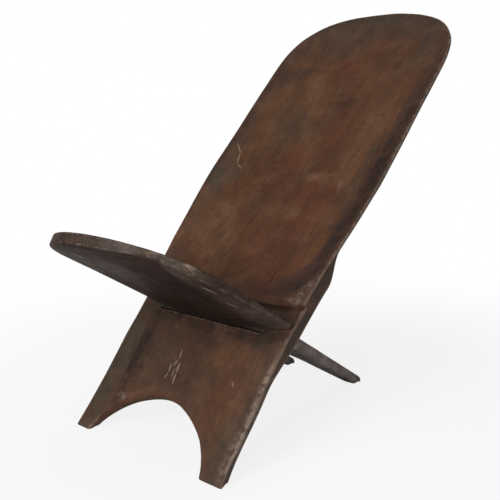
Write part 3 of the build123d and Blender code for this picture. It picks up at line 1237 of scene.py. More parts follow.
# ---- The seat plank ----
@dataclass(frozen=True)
class SeatPlank(Plank):
    """The seat and its tail: a rounded, bellied seat, shoulders, and a fork of two legs."""

    drawn_on: Sheet = Sheet.INNER
    most_round: float = 0.47
    reach: float = 0.240
    width: float = 0.276
    root_width: float = 0.267
    corner_length: float = 0.118
    fullness: float = 0.66
    front_edge: float = 0.0165
    root_edge: float = 0.0055
    belly_roundness: float = 3.0
    root: float = 0.0215
    hollow_depth: float = 0.005
    hollow_margin: float = 0.020
    hollow_slope: float = 0.044
    hollow_squareness: float = 2.38
    pared_at: Pair = (0.098, -0.222)  # where the rim is pared thin below
    pared_reach: float = 0.045
    pared: float = 0.007
    shoulder_clearance: float = 0.0004
    foot_width: float = 0.158
    foot_thickness: float = 0.015
    tail_length: float = 0.298
    tail_start: Pair = (-0.0062, -0.0032)  # where the belly gives way to the tail's underside
    tail_flank: float = 0.006  # and how far beside the tail it does
    fork_length: float = 0.173
    fork_width: float = 0.106
    fork_root_width: float = 0.084
    fork_round: float = 0.074
    fork_fullness: float = 0.55
    crotch_rise: float = 0.004  # of the outer ends of the lattice row over the crotch
    outer_cells: int = 20
    leg_cells: int = 24
    middle_cells: int = 34
    row_cells: tuple[int, int, int] = (110, 54, 74)  # seat, tail, legs
    outer_span: float = 0.036  # wood beside the tail
    leg_span: float = 0.050
    front_span: float = 0.220
    tail_span: float = 0.130
    flank_samples: int = 200
    relief: Relief = Relief((0.015, 0.040), 0.0004, (0.05, 0.09), 0.0005, 41, 51)
    calm_at: float = -0.002  # the relief dies away at the shoulders
    calm_reach: float = 0.004
    tail_calm: float = 0.6  # and is that much lower on the tail
    arris: float = 0.0030
    tail_ends: Pair = (-0.004, 0.006)  # where the arris turns into the tail's round side
    toe_radius: float = 0.0042  # of the worn end of each leg
    root_shift: float = 0.0020  # of the shoulders to the right
    shift_along: Pair = (-0.10, -0.01)  # where that starts and where it is full
    shift_across: Pair = (0.105, 0.130)

    def datum(self) -> Datum:
        """The seat's top."""
        return self.tail.datum()

    def seat_side(self, along: Array) -> Array:
        """Half the seat's width behind its round front: a parabola from root to full width.

        Args:
            along: Places along.

        Returns:
            Half the width.
        """
        wide = self.reach - self.corner_length
        share = np.clip(-along / wide, 0.0, 1.0)
        root, half = self.root_width / 2, self.width / 2
        return root + (half - root) * (1 - (1 - share) ** 2)

    def tail_side(self, along: Array) -> Array:
        """Half the tail's width, tapering evenly to the feet."""
        share = along / self.tail_length
        return (self.tail.width + (self.foot_width - self.tail.width) * share) / 2

    def tail_wood(self, along: Array) -> Array:
        """The tail's thickness, tapering evenly to the feet."""
        share = np.clip(along / self.tail_length, 0.0, 1.0)
        return self.tail.thickness + (self.foot_thickness - self.tail.thickness) * share

    def hollow(self, across: Array, along: Array) -> Array:
        """How far into the seat's dish a place lies; a contour is |x|^p + |y|^p = 1.

        Args:
            across, along: Places on the face.

        Returns:
            The share of the slope, 0 on the rim and 1 on the floor.
        """
        p = self.hollow_squareness

        def inside(share: Array) -> Array:
            """Which places lie inside the contours of these shares."""
            inset = self.hollow_margin + share * self.hollow_slope
            u = np.abs(across) / (self.width / 2 - inset)
            v = np.abs(-along - self.reach / 2) / (self.reach / 2 - inset)
            return u ** p + v ** p < 1.0

        return deepest_share(inside, np.shape(across))

    def outer_depth(self, across: Array, along: Array) -> Array:
        """Depth of the seat's top: level, with its dish sunk by a quarter sine."""
        return self.hollow_depth * np.sin(self.hollow(across, along) * math.pi / 2)

    def inner_depth(self, across: Array, along: Array) -> Array:
        """Depth of the underside: a belly that falls as the cube across, then the tail's.

        Args:
            across, along: Places on the face.

        Returns:
            Their depth below the seat's top.
        """
        share = np.clip(1 + along / self.reach, 0.0, 1.0)
        edge = self.front_edge + (self.root_edge - self.front_edge) * share
        middle = self.front_edge + (self.root - self.front_edge) * share
        beside = np.minimum(np.abs(across) / (self.width / 2), 1.0)
        belly = middle - (middle - edge) * beside ** self.belly_roundness
        (x, y), reach = self.pared_at, self.pared_reach
        belly = belly - self.pared * np.exp(-((across - x) ** 2 + (along - y) ** 2) / reach ** 2)
        half = self.tail.width / 2
        on_tail = ease(*self.tail_start, along) * ease(half + self.tail_flank, half, np.abs(across))
        return belly + (self.tail_wood(along) - belly) * on_tail

    def shoulder_along(self, depth: Array) -> Array:
        """Where the shoulders, parallel to the back's front face, cut a surface of the seat."""
        turn = self.face.lean_at(self.tail.height_on_back) - self.tail.slope
        return -self.shoulder_clearance / math.cos(turn) - depth * math.tan(turn)

    def fork(self) -> tuple[Array, Array]:
        """The right side of the fork, as a flank down to the toes and a curve over the crotch.

        Returns:
            The flank, toes last, and the curve, from the flank to its middle.
        """
        crotch = self.tail_length - self.fork_length
        root = self.fork_root_width / 2
        turn = quarter((root, -crotch), (root, self.fork_round), self.fork_fullness) * (1, -1)
        split = len(turn) // 2
        toe = np.array([[self.fork_width / 2, self.tail_length]])
        return np.concatenate([toe, turn[:split + 1]])[::-1], turn[split:]

    def shoulder_row(self, depth: Depth) -> Array:
        """The row along the shoulders, spaced for the tail and its legs.

        Args:
            depth: Depth of the sheet, which sets where the back's front face cuts it.

        Returns:
            The row's places.
        """
        inner, side = self.fork_root_width / 2, self.tail.width / 2
        leg = inner + (side - inner) * margined(self.leg_span, self.leg_cells)
        beside = margined(self.outer_span, self.outer_cells)[1:]
        right = np.concatenate([leg, side + (self.root_width / 2 - side) * beside])
        across = np.concatenate([-right[::-1], inner * inside_shares(self.middle_cells), right])
        return np.stack([across, settle(self.shoulder_along, depth, across, 0.0)], axis=1)

    def seat_rows(self, shoulder: Array) -> Array:
        """The seat's rows, from its rounded front to its shoulders.

        Args:
            shoulder: The row along the shoulders.

        Returns:
            The rows.
        """
        across = margined(self.front_span, len(shoulder) - 1)
        along = margined(self.reach, self.row_cells[0], high=False)
        half = self.width / 2
        corner = quarter((half, self.reach), (half, self.corner_length), self.fullness) * (1, -1)
        split = len(corner) // 2
        heights = np.linspace(shoulder[-1, 1], self.corner_length - self.reach, self.flank_samples)
        flank = np.stack([self.seat_side(heights), heights], axis=1)
        right = walk(np.concatenate([flank, corner[1:split + 1]])[::-1], along)
        return blended(walk(mirrored(corner[split:]), across), shoulder, right, across, along)

    def leg_row(self, inner: Array, outer: Array, between: Array) -> Array:
        """One row of the legs, with the cells beside the tail folded onto its side.

        Args:
            inner: Where the right leg starts, on the fork.
            outer: Where it ends, on the tail's side.
            between: The places between the legs.

        Returns:
            The row's places, from left to right.
        """
        right = inner + (outer - inner) * margined(self.leg_span, self.leg_cells)[:, None]
        right = np.concatenate([right, np.repeat(right[-1:], self.outer_cells, axis=0)])
        return np.concatenate([right[::-1] * (-1, 1), between, right])

    def tail_rows(self, shoulder: Array, depth: Depth) -> list[Array]:
        """Rows down the tail, straight blends to the crotch, and down both legs to the floor.

        Args:
            shoulder: The seat's last row.
            depth: Depth of the sheet, which sets where the floor cuts it.

        Returns:
            The rows after the shoulders.
        """
        middle = inside_shares(self.middle_cells)
        flank, crotch = self.fork()
        low, outer_low = crotch[0, 1], crotch[0, 1] - self.crotch_rise
        over = self.leg_row(crotch[0], np.array([self.tail_side(outer_low), outer_low]),
                            walk(mirrored(crotch), (middle + 1) / 2))
        first = shoulder.copy()
        first[:self.outer_cells] = first[self.outer_cells]
        first[-self.outer_cells:] = first[-self.outer_cells - 1]
        shares = margined(self.tail_span, self.row_cells[1], low=False)[1:]
        rows = [first + (over - first) * share for share in shares]
        toe = depth(np.array([self.fork_width / 2]), np.array([self.tail_length]))
        end = min(self.tail_length, float(self.datum().floor_along(toe)[0]))
        for share in margined(self.fork_length, self.row_cells[2], low=False)[1:]:
            height, outer_height = low + (end - low) * share, outer_low + (end - outer_low) * share
            inner = np.array([np.interp(height, flank[:, 1], flank[:, 0]), height])
            outer = np.array([self.tail_side(outer_height), outer_height])
            between = np.stack([inner[0] * middle, np.full(len(middle), height)], axis=1)
            rows.append(self.leg_row(inner, outer, between))
        return rows

    def lattice(self, sheet: Sheet) -> tuple[Array, Array]:
        """Lay the lattice on one sheet: the seat's rows, the tail's, then the legs'.

        Args:
            sheet: Which face.

        Returns:
            Places across and along.
        """
        depth = self.depth(sheet)
        seat = self.seat_rows(self.shoulder_row(depth))
        full = np.concatenate([seat, self.tail_rows(seat[-1], depth)])
        return full[..., 0], full[..., 1]

    def sawn_rows(self) -> tuple[int, ...]:
        """The shoulders and the toes."""
        return self.row_cells[0], sum(self.row_cells)

    def cells(self) -> Mask:
        """Which cells are wood: the seat's full width, the tail, then only the two legs.

        Returns:
            True for wood.
        """
        seat, tail, legs = self.row_cells
        columns = 2 * (self.outer_cells + self.leg_cells) + self.middle_cells
        wood = np.ones((seat + tail + legs, columns), bool)
        wood[seat:, :self.outer_cells] = False
        wood[seat:, -self.outer_cells:] = False
        side = self.outer_cells + self.leg_cells
        wood[seat + tail:, side:-side] = False
        return wood

    def wear(self, sheet: Sheet, across: Array, along: Array, into: Array, wood: Array) -> Wear:
        """Arrises that turn into the tail's round sides, worn toes and shoulders to the right.

        Args:
            sheet: Which face.
            across, along: Places on the face.
            into: Their depth, which changes nothing here.
            wood: Thickness of the wood there.

        Returns:
            The wear.
        """
        on_tail = ease(*self.tail_ends, along)
        radius = self.arris + (self.tail.roundness * wood - self.arris) * on_tail
        calm = ease(0.0, self.calm_reach, np.abs(along - self.calm_at))
        calm = calm * (1 - self.tail_calm * on_tail)
        relief = self.relief.height(sheet, across, along) * calm
        toes = rounding(along[-1].max() - along, np.full(along.shape, self.toe_radius))
        sunk = toes * (sheet is Sheet.OUTER)
        shift = self.root_shift * ease(*self.shift_along, along)
        moved = across + shift * ease(*self.shift_across, np.abs(across))
        return Wear(radius, relief, moved, sunk)


# ---- Finishes ----
Colour = Triple
WHITE = (1.0, 1.0, 1.0)
Socket = bpy.types.NodeSocket
Tree = bpy.types.NodeTree


class Desk:
    """A node tree being wired: adds nodes, sets or links their inputs, and gives outputs."""

    def __init__(self, tree: Tree) -> None:
        """Keep the tree that the nodes go into."""
        self.tree = tree

    def add(self, kind: str, inputs: dict[Any, Any], **settings: Any) -> bpy.types.Node:
        """Add a node.

        Args:
            kind: Its type, without the ShaderNode before it.
            inputs: Value or output socket for each input, by name or number.
            settings: Its other settings.

        Returns:
            The node.
        """
        node = self.tree.nodes.new(f"ShaderNode{kind}")
        for name, value in settings.items():
            setattr(node, name, value)
        for name, value in inputs.items():
            if isinstance(value, Socket):
                self.tree.links.new(value, node.inputs[name])
            elif isinstance(value, tuple) and len(value) == 3 and node.inputs[name].type == "RGBA":
                node.inputs[name].default_value = (*value, 1.0)
            else:
                node.inputs[name].default_value = value
        return node

    def math(self, kind: str, *values: Any) -> Socket:
        """The result of a Math node on the values."""
        return self.add("Math", dict(enumerate(values)), operation=kind).outputs[0]

    def vector(self, kind: str, *values: Any) -> Socket:
        """The vector result of a Vector Math node on the values."""
        return self.add("VectorMath", dict(enumerate(values)), operation=kind).outputs[0]

    def span(self, value: Any, low: float, high: float, start: float = 0.0,
             end: float = 1.0) -> Socket:
        """The value mapped smoothly and clamped from low..high to start..end."""
        inputs = {"Value": value, "From Min": low, "From Max": high, "To Min": start, "To Max": end}
        return self.add("MapRange", inputs, interpolation_type="SMOOTHSTEP").outputs[0]

    def mix(self, share: Any, first: Any, second: Any) -> Socket:
        """Two colours mixed by a share."""
        inputs = {0: share, 6: first, 7: second}
        return self.add("Mix", inputs, data_type="RGBA").outputs[2]

    def noise(self, vector: Any, scale: Any, detail: float, roughness: float) -> Socket:
        """Height of a noise texture."""
        inputs = {"Vector": vector, "Scale": scale, "Detail": detail, "Roughness": roughness}
        return self.add("TexNoise", inputs).outputs[0]

    def stir(self, vector: Any, scale: float, detail: float) -> Socket:
        """Three noises at once, as the colour of a noise texture."""
        inputs = {"Vector": vector, "Scale": scale, "Detail": detail}
        return self.add("TexNoise", inputs).outputs["Color"]

    def measure(self, kind: str, *values: Any) -> Socket:
        """The number that a Vector Math node finds."""
        made = self.add("VectorMath", dict(enumerate(values)), operation=kind)
        return made.outputs["Value"]

    def lay(self, colour: Any, tint: Any, mask: Any, strength: Any) -> Socket:
        """A tint laid over a colour where the mask says, and as strongly as told."""
        return self.mix(self.math("MULTIPLY", mask, strength), colour, tint)

    def raised(self, height: Any, mask: Any, by: float) -> Socket:
        """A height raised where the mask says."""
        return self.math("ADD", height, self.math("MULTIPLY", mask, by))

    def lowered(self, height: Any, mask: Any, by: float) -> Socket:
        """A height or a roughness lowered where the mask says."""
        return self.math("SUBTRACT", height, self.math("MULTIPLY", mask, by))

    def scaled(self, vector: Any, by: Any) -> Socket:
        """A vector made longer or shorter."""
        inputs = {0: vector, "Scale": by}
        return self.add("VectorMath", inputs, operation="SCALE").outputs[0]

    def joined(self, x: Any, y: Any, z: Any) -> Socket:
        """A vector of three numbers."""
        return self.add("CombineXYZ", {0: x, 1: y, 2: z}).outputs[0]


class GroupDesk(Desk):
    """A desk for a shared effect: a shader node group with named inputs and outputs."""

    def __init__(self, name: str, inputs: dict[str, Any], outputs: list[str]) -> None:
        """Start the group.

        Args:
            name: Name of the group.
            inputs: Default of each input, a number or a vector of three.
            outputs: Names of its outputs, all numbers.
        """
        super().__init__(bpy.data.node_groups.new(name, "ShaderNodeTree"))
        sockets = self.tree.interface
        for socket, value in inputs.items():
            kind = "NodeSocketVector" if isinstance(value, tuple) else "NodeSocketFloat"
            sockets.new_socket(socket, in_out="INPUT", socket_type=kind).default_value = value
        for socket in outputs:
            sockets.new_socket(socket, in_out="OUTPUT", socket_type="NodeSocketFloat")
        self.take = self.tree.nodes.new("NodeGroupInput").outputs
        self.ends = self.tree.nodes.new("NodeGroupOutput").inputs

    def give(self, name: str, value: Socket) -> None:
        """Lead a value to an output of the group."""
        self.tree.links.new(value, self.ends[name])


def grain_group() -> Tree:
    """Wood grain: noise stretched along the plank, fine for fibres and broad for figure.

    Returns:
        The group, with outputs Fibre, Figure and Pores.
    """
    defaults = {"Vector": (0.0, 0.0, 0.0), "Fibre Width": 0.0016, "Fibre Length": 0.05,
                "Figure Width": 0.02, "Figure Length": 0.22, "Waver": 0.006}
    desk = GroupDesk("Wood grain", defaults, ["Fibre", "Figure", "Pores"])
    take = desk.take
    place = take["Vector"]
    centred = desk.vector("SUBTRACT", desk.stir(place, 9.0, 2.0), (0.5, 0.5, 0.5))
    shifted = desk.scaled(centred, take["Waver"])
    bent = desk.vector("ADD", place, shifted)

    def stretched(width: str, length: str) -> Socket:
        """The place in units of a width and a length."""
        sizes = desk.joined(take[width], take[length], take[width])
        return desk.vector("DIVIDE", bent, sizes)

    fibre = desk.noise(stretched("Fibre Width", "Fibre Length"), 1.0, 4.0, 0.6)
    figure = desk.noise(stretched("Figure Width", "Figure Length"), 1.0, 3.0, 0.55)
    pores = desk.add("TexVoronoi",
                     {"Vector": stretched("Fibre Width", "Fibre Length"), "Scale": 0.9})
    desk.give("Fibre", fibre)
    desk.give("Figure", figure)
    desk.give("Pores", desk.span(pores.outputs["Distance"], 0.22, 0.08))
    return desk.tree


def patches_group() -> Tree:
    """Blotches of age: noise, cut by a threshold and softened.

    Returns:
        The group, with one output Mask.
    """
    defaults = {"Vector": (0.0, 0.0, 0.0), "Size": 0.06, "Threshold": 0.5, "Softness": 0.12}
    desk = GroupDesk("Patches", defaults, ["Mask"])
    take = desk.take
    scale = desk.math("DIVIDE", 1.0, take["Size"])
    noise = desk.noise(take["Vector"], scale, 4.0, 0.6)
    low = desk.math("SUBTRACT", take["Threshold"], take["Softness"])
    high = desk.math("ADD", take["Threshold"], take["Softness"])
    desk.give("Mask", desk.span(noise, low, high))
    return desk.tree


def wear_group() -> Tree:
    """Worn arrises: the mark left near an edge, broken up by noise.

    Returns:
        The group, with one output Mask.
    """
    defaults = {"Vector": (0.0, 0.0, 0.0), "Arris": 0.0, "Size": 0.012, "Amount": 0.5}
    desk = GroupDesk("Edge wear", defaults, ["Mask"])
    take = desk.take
    scale = desk.math("DIVIDE", 1.0, take["Size"])
    noise = desk.noise(take["Vector"], scale, 5.0, 0.65)
    broken = desk.math("ADD", take["Arris"],
                       desk.math("MULTIPLY", desk.math("SUBTRACT", noise, 0.5), 1.1))
    start = desk.math("SUBTRACT", 1.0, take["Amount"])
    desk.give("Mask", desk.span(broken, start, desk.math("ADD", start, 0.45)))
    return desk.tree


def scratch_group() -> Tree:
    """Scratches: the middles of long thin cells, turned by an angle, some of them kept.

    Returns:
        The group, with one output Mask.
    """
    defaults = {"Vector": (0.0, 0.0, 0.0), "Angle": 0.0, "Width": 0.004, "Length": 0.05,
                "Kept": 0.3}
    desk = GroupDesk("Scratches", defaults, ["Mask"])
    take = desk.take
    turned = desk.add("VectorRotate", {"Vector": take["Vector"], "Angle": take["Angle"]},
                      rotation_type="Z_AXIS").outputs[0]
    bend = desk.vector("MULTIPLY", desk.stir(turned, 14.0, 1.0), (0.006, 0.0, 0.0))
    bent = desk.vector("ADD", turned, bend)
    sizes = desk.joined(take["Width"], take["Length"], take["Length"])
    cells = desk.add("TexVoronoi", {"Vector": desk.vector("DIVIDE", bent, sizes), "Scale": 1.0})
    thin = desk.span(cells.outputs["Distance"], 0.16, 0.04)
    pick = desk.add("SeparateColor", {0: cells.outputs["Color"]}).outputs[0]
    kept = desk.math("LESS_THAN", pick, take["Kept"])
    desk.give("Mask", desk.math("MULTIPLY", thin, kept))
    return desk.tree


def crack_group() -> Tree:
    """One crack: places near the line from Start to End, which noise makes wander.

    Its width tapers as 4 s (1 - s) of the share s along it, plus a quarter.

    Returns:
        The group, with one output Mask.
    """
    defaults = {"Vector": (0.0, 0.0, 0.0), "Start": (0.0, 0.0, 0.0), "End": (0.0, 0.1, 0.0),
                "Width": 0.0008, "Wander": 0.003}
    desk = GroupDesk("Crack", defaults, ["Mask"])
    take = desk.take
    centred = desk.vector("SUBTRACT", desk.stir(take["Vector"], 40.0, 3.0), (0.5, 0.5, 0.5))
    moved = desk.vector("ADD", take["Vector"], desk.scaled(centred, take["Wander"]))
    place = desk.vector("MULTIPLY", moved, (1.0, 1.0, 0.0))
    run = desk.vector("SUBTRACT", take["End"], take["Start"])
    offset = desk.vector("SUBTRACT", place, take["Start"])
    ratio = desk.math("DIVIDE", desk.measure("DOT_PRODUCT", offset, run),
                      desk.measure("DOT_PRODUCT", run, run))
    share = desk.add("Clamp", {0: ratio}).outputs[0]
    gap = desk.measure("DISTANCE", offset, desk.scaled(run, share))
    bell = desk.math("MULTIPLY", share, desk.math("SUBTRACT", 1.0, share))
    taper = desk.math("MULTIPLY", bell, 4.0)
    width = desk.math("MULTIPLY", take["Width"], desk.math("ADD", taper, 0.25))
    desk.give("Mask", desk.span(desk.math("DIVIDE", gap, width), 1.0, 0.35))
    return desk.tree


@dataclass(frozen=True)
class Groups:
    """The shared effects, each built once."""

    grain: Tree
    patches: Tree
    wear: Tree
    scratches: Tree
    crack: Tree


class WoodDesk(Desk):
    """A desk for a plank's wood: it knows the place on the plank's own face."""

    def __init__(self, tree: Tree, datum: Datum) -> None:
        """Turn object coordinates into (across, along, height) on the face.

        Args:
            tree: The material's tree.
            datum: The face.
        """
        super().__init__(tree)
        location, rotation = datum.mapping()
        here = self.add("TexCoord", {}).outputs["Object"]
        inputs = {"Vector": here, "Location": location, "Rotation": rotation}
        self.place = self.add("Mapping", inputs).outputs[0]

    def effect(self, tree: Tree, **inputs: Any) -> bpy.types.Node:
        """Add a shared effect at the place on the plank.

        Args:
            tree: The effect's group.
            inputs: Its values, each name's spaces written as underscores.

        Returns:
            The group node.
        """
        named = {name.replace("_", " "): value for name, value in inputs.items()}
        return self.add("Group", {"Vector": self.place, **named}, node_tree=tree)

    def mark(self, name: str) -> Socket:
        """The value of a mark that the mesh carries."""
        return self.add("Attribute", {}, attribute_name=name).outputs["Fac"]


@dataclass(frozen=True)
class Mark:
    """A crack or scratch drawn on a plank, between two (across, along) places."""

    start: Pair
    end: Pair
    width: float
    dark: bool


@dataclass(frozen=True)
class WoodFinish:
    """Old, dark, hand-rubbed hardwood."""

    name: str
    heart: Colour  # the wood's middle tone
    light: Colour  # pale grain
    dark: Colour  # dirt and dark grain
    worn: Colour  # rubbed arrises and scratches
    rim: Colour  # rims and slopes of the hollow
    side: Colour  # sawn sides
    tones: dict[Tone, Colour]
    bloom: Colour  # cloudy lighter spots
    cloudiness: float = 0.28  # how strong those are
    wear: float = 0.44  # how far the arrises have worn
    wear_strength: float = 0.50
    crack: Colour = (0.008, 0.005, 0.004)
    rim_strength: float = 0.5
    side_strength: float = 0.85
    dirt_strength: float = 0.34
    mottle_strength: float = 0.30
    fibre_strengths: Pair = (0.34, 0.26)  # of fine and coarse fibres
    pore_strength: float = 0.25
    scratch_strength: float = 0.25
    mark_strengths: Pair = (0.65, 0.75)  # of cracks and of drawn scratches
    scratches: tuple[Levels, ...] = (  # each sort's angle, width, length and share kept
        (0.25, 0.005, 0.05, 0.10), (-0.6, 0.007, 0.03, 0.07), (1.3, 0.006, 0.025, 0.05))
    marks: tuple[Mark, ...] = ()
    roughness: float = 0.58
    dusty: float = 0.16  # how much rougher dust makes it
    rubbed: float = 0.12  # how much smoother wear does
    gloss: float = 0.15
    bump_strength: float = 0.6
    bump_distance: float = 0.0007

    def fine_scratches(self, desk: WoodDesk, groups: Groups) -> Socket:
        """All sorts of fine scratches together: the strongest at each place.

        Args:
            desk: The material's desk.
            groups: The shared effects.

        Returns:
            Their mask.
        """
        together = None
        for angle, width, length, kept in self.scratches:
            made = desk.effect(groups.scratches, Angle=angle, Width=width, Length=length,
                               Kept=kept).outputs[0]
            together = made if together is None else desk.math("MAXIMUM", together, made)
        return together

    def toned(self, desk: WoodDesk, colour: Any, dust: Any, flecks: Any) -> Socket:
        """Lay the tones of age and the painted light and shade over the bare wood, broken up by
        dust, the pale one by flecks.

        Args:
            desk: The material's desk.
            colour: The bare wood.
            dust: Mask of the dust.
            flecks: Mask of the flecks.

        Returns:
            The colour.
        """
        stirred = desk.span(dust, 0.0, 1.0, 0.70, 1.15)
        flecked = desk.span(flecks, 0.0, 1.0, 0.15, 1.25)
        for tone, tint in self.tones.items():
            broken = flecked if tone is Tone.PALE else stirred
            colour = desk.lay(colour, tint, desk.mark(tone.value), broken)
        return colour

    def material(self, datum: Datum, groups: Groups) -> bpy.types.Material:
        """Build the finish in the measure of the plank's own face.

        Args:
            datum: The face that the grain follows.
            groups: The shared effects.

        Returns:
            The material.
        """
        made = bpy.data.materials.new(self.name)
        made.use_nodes = True
        made.node_tree.nodes.clear()
        desk = WoodDesk(made.node_tree, datum)
        grain = desk.effect(groups.grain).outputs
        coarse = desk.effect(groups.grain, Fibre_Width=0.004, Fibre_Length=0.11,
                             Figure_Width=0.045, Figure_Length=0.30, Waver=0.02).outputs
        dirt, dust, mottle, bloom, flecks = [
            desk.effect(groups.patches, Size=size, Threshold=level, Softness=softness).outputs[0]
            for size, level, softness in ((0.060, 0.50, 0.22), (0.022, 0.55, 0.16),
                                          (0.016, 0.56, 0.12), (0.034, 0.58, 0.10),
                                          (0.008, 0.48, 0.08))]
        wear = desk.effect(groups.wear, Arris=desk.mark("arris"), Size=0.010,
                           Amount=self.wear).outputs[0]
        scratches = self.fine_scratches(desk, groups)
        fine, broad = self.fibre_strengths
        colour = desk.mix(desk.span(coarse["Figure"], 0.32, 0.68), self.heart, self.light)
        slope = desk.span(desk.mark("hollow"), 0.95, 0.25)
        colour = desk.lay(colour, self.rim, slope, self.rim_strength)
        colour = desk.lay(colour, self.side, desk.mark("side"), self.side_strength)
        colour = self.toned(desk, colour, dust, flecks)
        colour = desk.mix(desk.span(dirt, 0.0, 1.0, 0.0, self.dirt_strength), colour, self.dark)
        colour = desk.mix(desk.span(mottle, 0.0, 1.0, 0.0, self.mottle_strength), colour, self.dark)
        colour = desk.lay(colour, self.bloom, bloom, self.cloudiness)
        colour = desk.mix(desk.span(grain["Fibre"], 0.55, 0.30, 0.0, fine), colour, self.dark)
        colour = desk.mix(desk.span(coarse["Fibre"], 0.50, 0.30, 0.0, broad), colour, self.dark)
        colour = desk.lay(colour, self.dark, grain["Pores"], self.pore_strength)
        colour = desk.lay(colour, self.worn, wear, self.wear_strength)
        colour = desk.lay(colour, self.worn, scratches, self.scratch_strength)
        height = desk.raised(desk.math("MULTIPLY", grain["Fibre"], 0.5), coarse["Fibre"], 0.5)
        height = desk.lowered(height, grain["Pores"], 0.35)
        height = desk.lowered(height, scratches, 0.3)
        front = desk.mark("front")
        cracked, scratched = self.mark_strengths
        for drawn in self.marks:
            line = desk.effect(groups.crack, Start=(*drawn.start, 0.0), End=(*drawn.end, 0.0),
                               Width=drawn.width).outputs[0]
            line = desk.math("MULTIPLY", line, front)
            if drawn.dark:
                colour = desk.lay(colour, self.crack, line, cracked)
                height = desk.lowered(height, line, 1.5)
            else:
                colour = desk.lay(colour, self.worn, line, scratched)
        rough = desk.raised(self.roughness, desk.math("SUBTRACT", dust, 0.4), self.dusty)
        rough = desk.lowered(rough, wear, self.rubbed)
        bump = desk.add("Bump", {"Strength": self.bump_strength, "Distance": self.bump_distance,
                                 "Height": height})
        shader = desk.add("BsdfPrincipled", {
            "Base Color": colour, "Roughness": rough, "Normal": bump.outputs[0], "IOR": 1.45,
            "Specular IOR Level": self.gloss})
        desk.add("OutputMaterial", {"Surface": shader.outputs[0]})
        return made


BACK_MARKS = tuple(Mark(*line) for line in (
    # cracks up the grain
    ((-0.021, 0.392), (-0.026, 0.35), 0.0008, True),
    ((-0.027, 0.342), (-0.036, 0.298), 0.0008, True),
    ((0.068, 0.3), (0.064, 0.262), 0.0007, True),
    ((-0.1, 0.19), (-0.092, 0.1), 0.001, True),
    ((0.121, 0.56), (0.124, 0.44), 0.0007, True),
    # a hooked scratch, and a few strokes on the lower panel
    ((-0.142, 0.512), (-0.128, 0.494), 0.0012, False),
    ((-0.128, 0.494), (-0.121, 0.471), 0.0015, False),
    ((-0.121, 0.471), (-0.107, 0.464), 0.0011, False),
    ((-0.015, 0.146), (-0.012, 0.133), 0.0014, False),
    ((-0.014, 0.131), (-0.015, 0.121), 0.0018, False),
    ((-0.021, 0.124), (-0.019, 0.112), 0.002, False),
    ((-0.019, 0.111), (-0.021, 0.102), 0.0014, False),
    ((-0.008, 0.128), (-0.006, 0.114), 0.0022, False),
    ((-0.006, 0.113), (-0.003, 0.097), 0.002, False),
    ((-0.012, 0.119), (-0.01, 0.106), 0.0013, False),
    ((0.088, 0.125), (0.093, 0.119), 0.0014, False),
))
SEAT_MARKS = tuple(Mark(*line) for line in (
    ((-0.03, -0.235), (0.03, -0.2355), 0.003, True),
    ((0.03, -0.2355), (0.072, -0.226), 0.003, True),
    ((-0.08, -0.196), (-0.02, -0.17), 0.001, True),
    ((0.095, -0.15), (0.07, -0.05), 0.0012, True),
    ((-0.072, -0.2), (-0.05, -0.193), 0.0034, False),
    ((-0.098, -0.145), (-0.076, -0.136), 0.0034, False),
    ((-0.076, -0.168), (-0.062, -0.164), 0.0026, False),
    ((-0.07, -0.018), (-0.06, -0.01), 0.0034, False),
    ((0.118, -0.158), (0.124, -0.135), 0.0034, False),
    ((0.112, -0.105), (0.12, -0.088), 0.0028, False),
))
TONES = {Tone.RED: (0.088, 0.028, 0.014), Tone.OCHRE: (0.120, 0.056, 0.027),
         Tone.VIOLET: (0.030, 0.019, 0.020), Tone.GREY: (0.048, 0.040, 0.026),
         Tone.ASH: (0.310, 0.266, 0.245), Tone.DARK: (0.013, 0.007, 0.005),
         Tone.PALE: (0.230, 0.175, 0.135)}
BACK_WOOD = WoodFinish(
    name="back_wood", heart=(0.073, 0.0283, 0.0128), light=(0.097, 0.0415, 0.0188),
    dark=(0.026, 0.014, 0.010), worn=(0.180, 0.136, 0.104), rim=(0.052, 0.032, 0.022),
    side=(0.056, 0.040, 0.032), tones=TONES, bloom=(0.120, 0.062, 0.036), marks=BACK_MARKS)
SEAT_WOOD = WoodFinish(
    name="seat_wood", heart=(0.028, 0.0095, 0.0070), light=(0.036, 0.0138, 0.0104),
    dark=(0.010, 0.0043, 0.0035), worn=(0.170, 0.135, 0.108), rim=(0.047, 0.031, 0.022),
    side=(0.064, 0.046, 0.034), tones=TONES, bloom=(0.070, 0.045, 0.036), wear=0.20,
    cloudiness=0.12, roughness=0.66, gloss=0.06, marks=SEAT_MARKS)
RED, OCHRE, VIOLET, GREY, ASH, DARK, PALE = Tone
